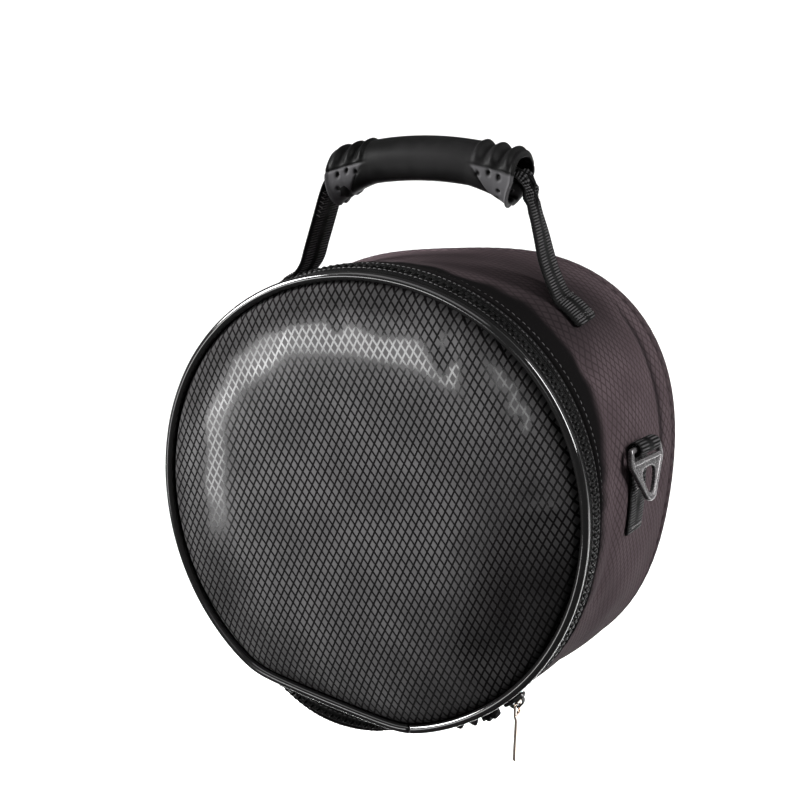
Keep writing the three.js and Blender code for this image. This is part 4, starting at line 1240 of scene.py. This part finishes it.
thread_dark = nylon("dark_thread", (0.02, 0.019, 0.02), (0.045, 0.043, 0.044), 0.5)
thread_pale = nylon("worn_thread", (0.12, 0.115, 0.115), (0.2, 0.19, 0.19), 0.5)
hem_runs = [round_stitches(STITCH_Y, lambda t: wall_outside(t, STITCH_Y), -180, 180, 3.2)]
for y, lift, pitch in TAPE_ROWS:
    hem_runs.append(round_stitches(y, lambda t: bag_radius(t, y) + lift, -179, ZIP_END, pitch))
stitch_piece("hem_stitches", hem_runs, thread_dark)
anchor_y, tab_y = np.linspace(-8, 8, 8), np.linspace(-6.2, 6.2, 7)
stitch_piece("anchor_stitches", [row_stitches(at, anchor_y, 2.75) for at in ANCHOR_ROWS], thread_dark)
tack_row = np.searchsorted(strap_far, np.interp(TACK_DROP, -path_z[~on_right], strap_far[~on_right]))
tack_rows = tack_row + np.arange(6) * 10
edge_column, inner_column = np.flatnonzero((strap_face < 0) & (strap_share < -0.5))[[-2, 0]]
tack_starts, tack_stops = strap_points[tack_rows, edge_column], strap_points[tack_rows + 9, inner_column]
tack_outs = np.stack([-strap_out[tack_rows, 0], 0 * tack_rows, -strap_out[tack_rows, 1]], -1)
stitch_piece("leg_tack", [stitch_runs(tack_starts, tack_stops, tack_outs, 0.35)], thread_pale)
tab_runs = [row_stitches(side * at, tab_y, 2.35) for _, side in SIDES for at in TAB_ROWS]
stitch_piece("tab_stitches", tab_runs, thread_pale)

# Floor, light and camera: a plain pale floor well below the hanging bag, soft panels of light, and a view
# from the right of the lid and a little above it. From here on sizes are in metres.
FLOOR_Z, FLOOR_FRONT, FLOOR_FAR = -0.62, 0.25, 30.0
CENTRE = np.array([0.0, -4.0, AXIS_Z]) * MM
floor_corners = [
    (-FLOOR_FAR, FLOOR_FRONT, FLOOR_Z), (FLOOR_FAR, FLOOR_FRONT, FLOOR_Z),
    (FLOOR_FAR, FLOOR_FAR, FLOOR_Z), (-FLOOR_FAR, FLOOR_FAR, FLOOR_Z),
]
floor_mesh = bpy.data.meshes.new("floor")
floor_mesh.from_pydata(floor_corners, [], [(0, 1, 2, 3)])
floor_material, tree, shader = new_material("pale_floor")
set_inputs(tree, shader, {"Base Color": (0.86, 0.86, 0.86, 1), "Roughness": 0.9})
floor = place(floor_mesh, floor_material)

world = bpy.data.worlds.new("studio")
bpy.context.scene.world = world
world.use_nodes = True
background = world.node_tree.nodes["Background"]
set_inputs(world.node_tree, background, {"Color": (1, 1, 1, 1), "Strength": 0.12})
bpy.context.scene.view_settings.view_transform = "Standard"


def direction(azimuth, elevation):
    """The way from the bag to a place at that azimuth, measured from -Y towards +X, and elevation."""
    a, e = np.radians([azimuth, elevation])
    return np.array([np.sin(a) * np.cos(e), -np.cos(a) * np.cos(e), np.sin(e)])


def aim(obj, azimuth, elevation, distance, roll=0.0):
    """Puts an object that far from the bag, and turns its -Z to the bag, with its X level but for a
    roll."""
    back = direction(azimuth, elevation)
    right = unit(np.cross((0, 0, 1.0), back))
    up = np.cross(back, right)
    r = np.radians(roll)
    axes = np.stack([np.cos(r) * right + np.sin(r) * up, np.cos(r) * up - np.sin(r) * right, back], 1)
    obj.location = CENTRE + distance * back
    obj.rotation_euler = Matrix(axes.tolist()).to_euler()


PANELS = [
    # name, azimuth, elevation, distance, width, height, power
    ("key_panel", -25.0, -1.0, 1.6, 0.56, 0.34, 5.6),
    ("corner_panel", -38.5, -4.0, 1.6, 0.32, 0.32, 2.6),
    ("left_panel", -42.5, -14.0, 1.5, 0.28, 0.3, 2.1),
    ("fill_panel", -58.0, 28.0, 0.75, 0.34, 0.34, 20.0),
    ("front_panel", 2.0, 3.0, 1.6, 0.12, 0.34, 0.5),
    ("top_panel", -20.0, 66.0, 1.3, 1.3, 0.8, 6.0),
    ("backdrop_panel", 150.0, 20.0, 2.4, 1.6, 1.2, 4.0),
    ("right_panel", 92.0, 30.0, 2.2, 0.6, 1.5, 80.0),
]
for name, azimuth, elevation, distance, width, height, power in PANELS:
    light = bpy.data.lights.new(name, "AREA")
    light.shape = "RECTANGLE"
    light.size, light.size_y, light.energy = width, height, power
    aim(add_object(name, light), azimuth, elevation, distance)

floor_light = bpy.data.lights.new("floor_light", "AREA")
floor_light.size, floor_light.energy = 7.0, 400.0
floor_lamp = add_object("floor_light", floor_light)
floor_lamp.location = (-1.6, 4.6, 3.0)
lit_floor = bpy.data.collections.new("lit_floor")
lit_floor.objects.link(floor)
floor_lamp.light_linking.receiver_collection = lit_floor

CAMERA_AZIMUTH, CAMERA_ELEVATION, CAMERA_FAR, CAMERA_ROLL = 23.88, 18.45, 1.0654, 0.89
lens = bpy.data.cameras.new("camera")
lens.sensor_width, lens.lens = 36.0, 97.05
lens.shift_x, lens.shift_y = -0.0218, 0.0903
camera = add_object("camera", lens)
aim(camera, CAMERA_AZIMUTH, CAMERA_ELEVATION, CAMERA_FAR, CAMERA_ROLL)
bpy.context.scene.camera = camera
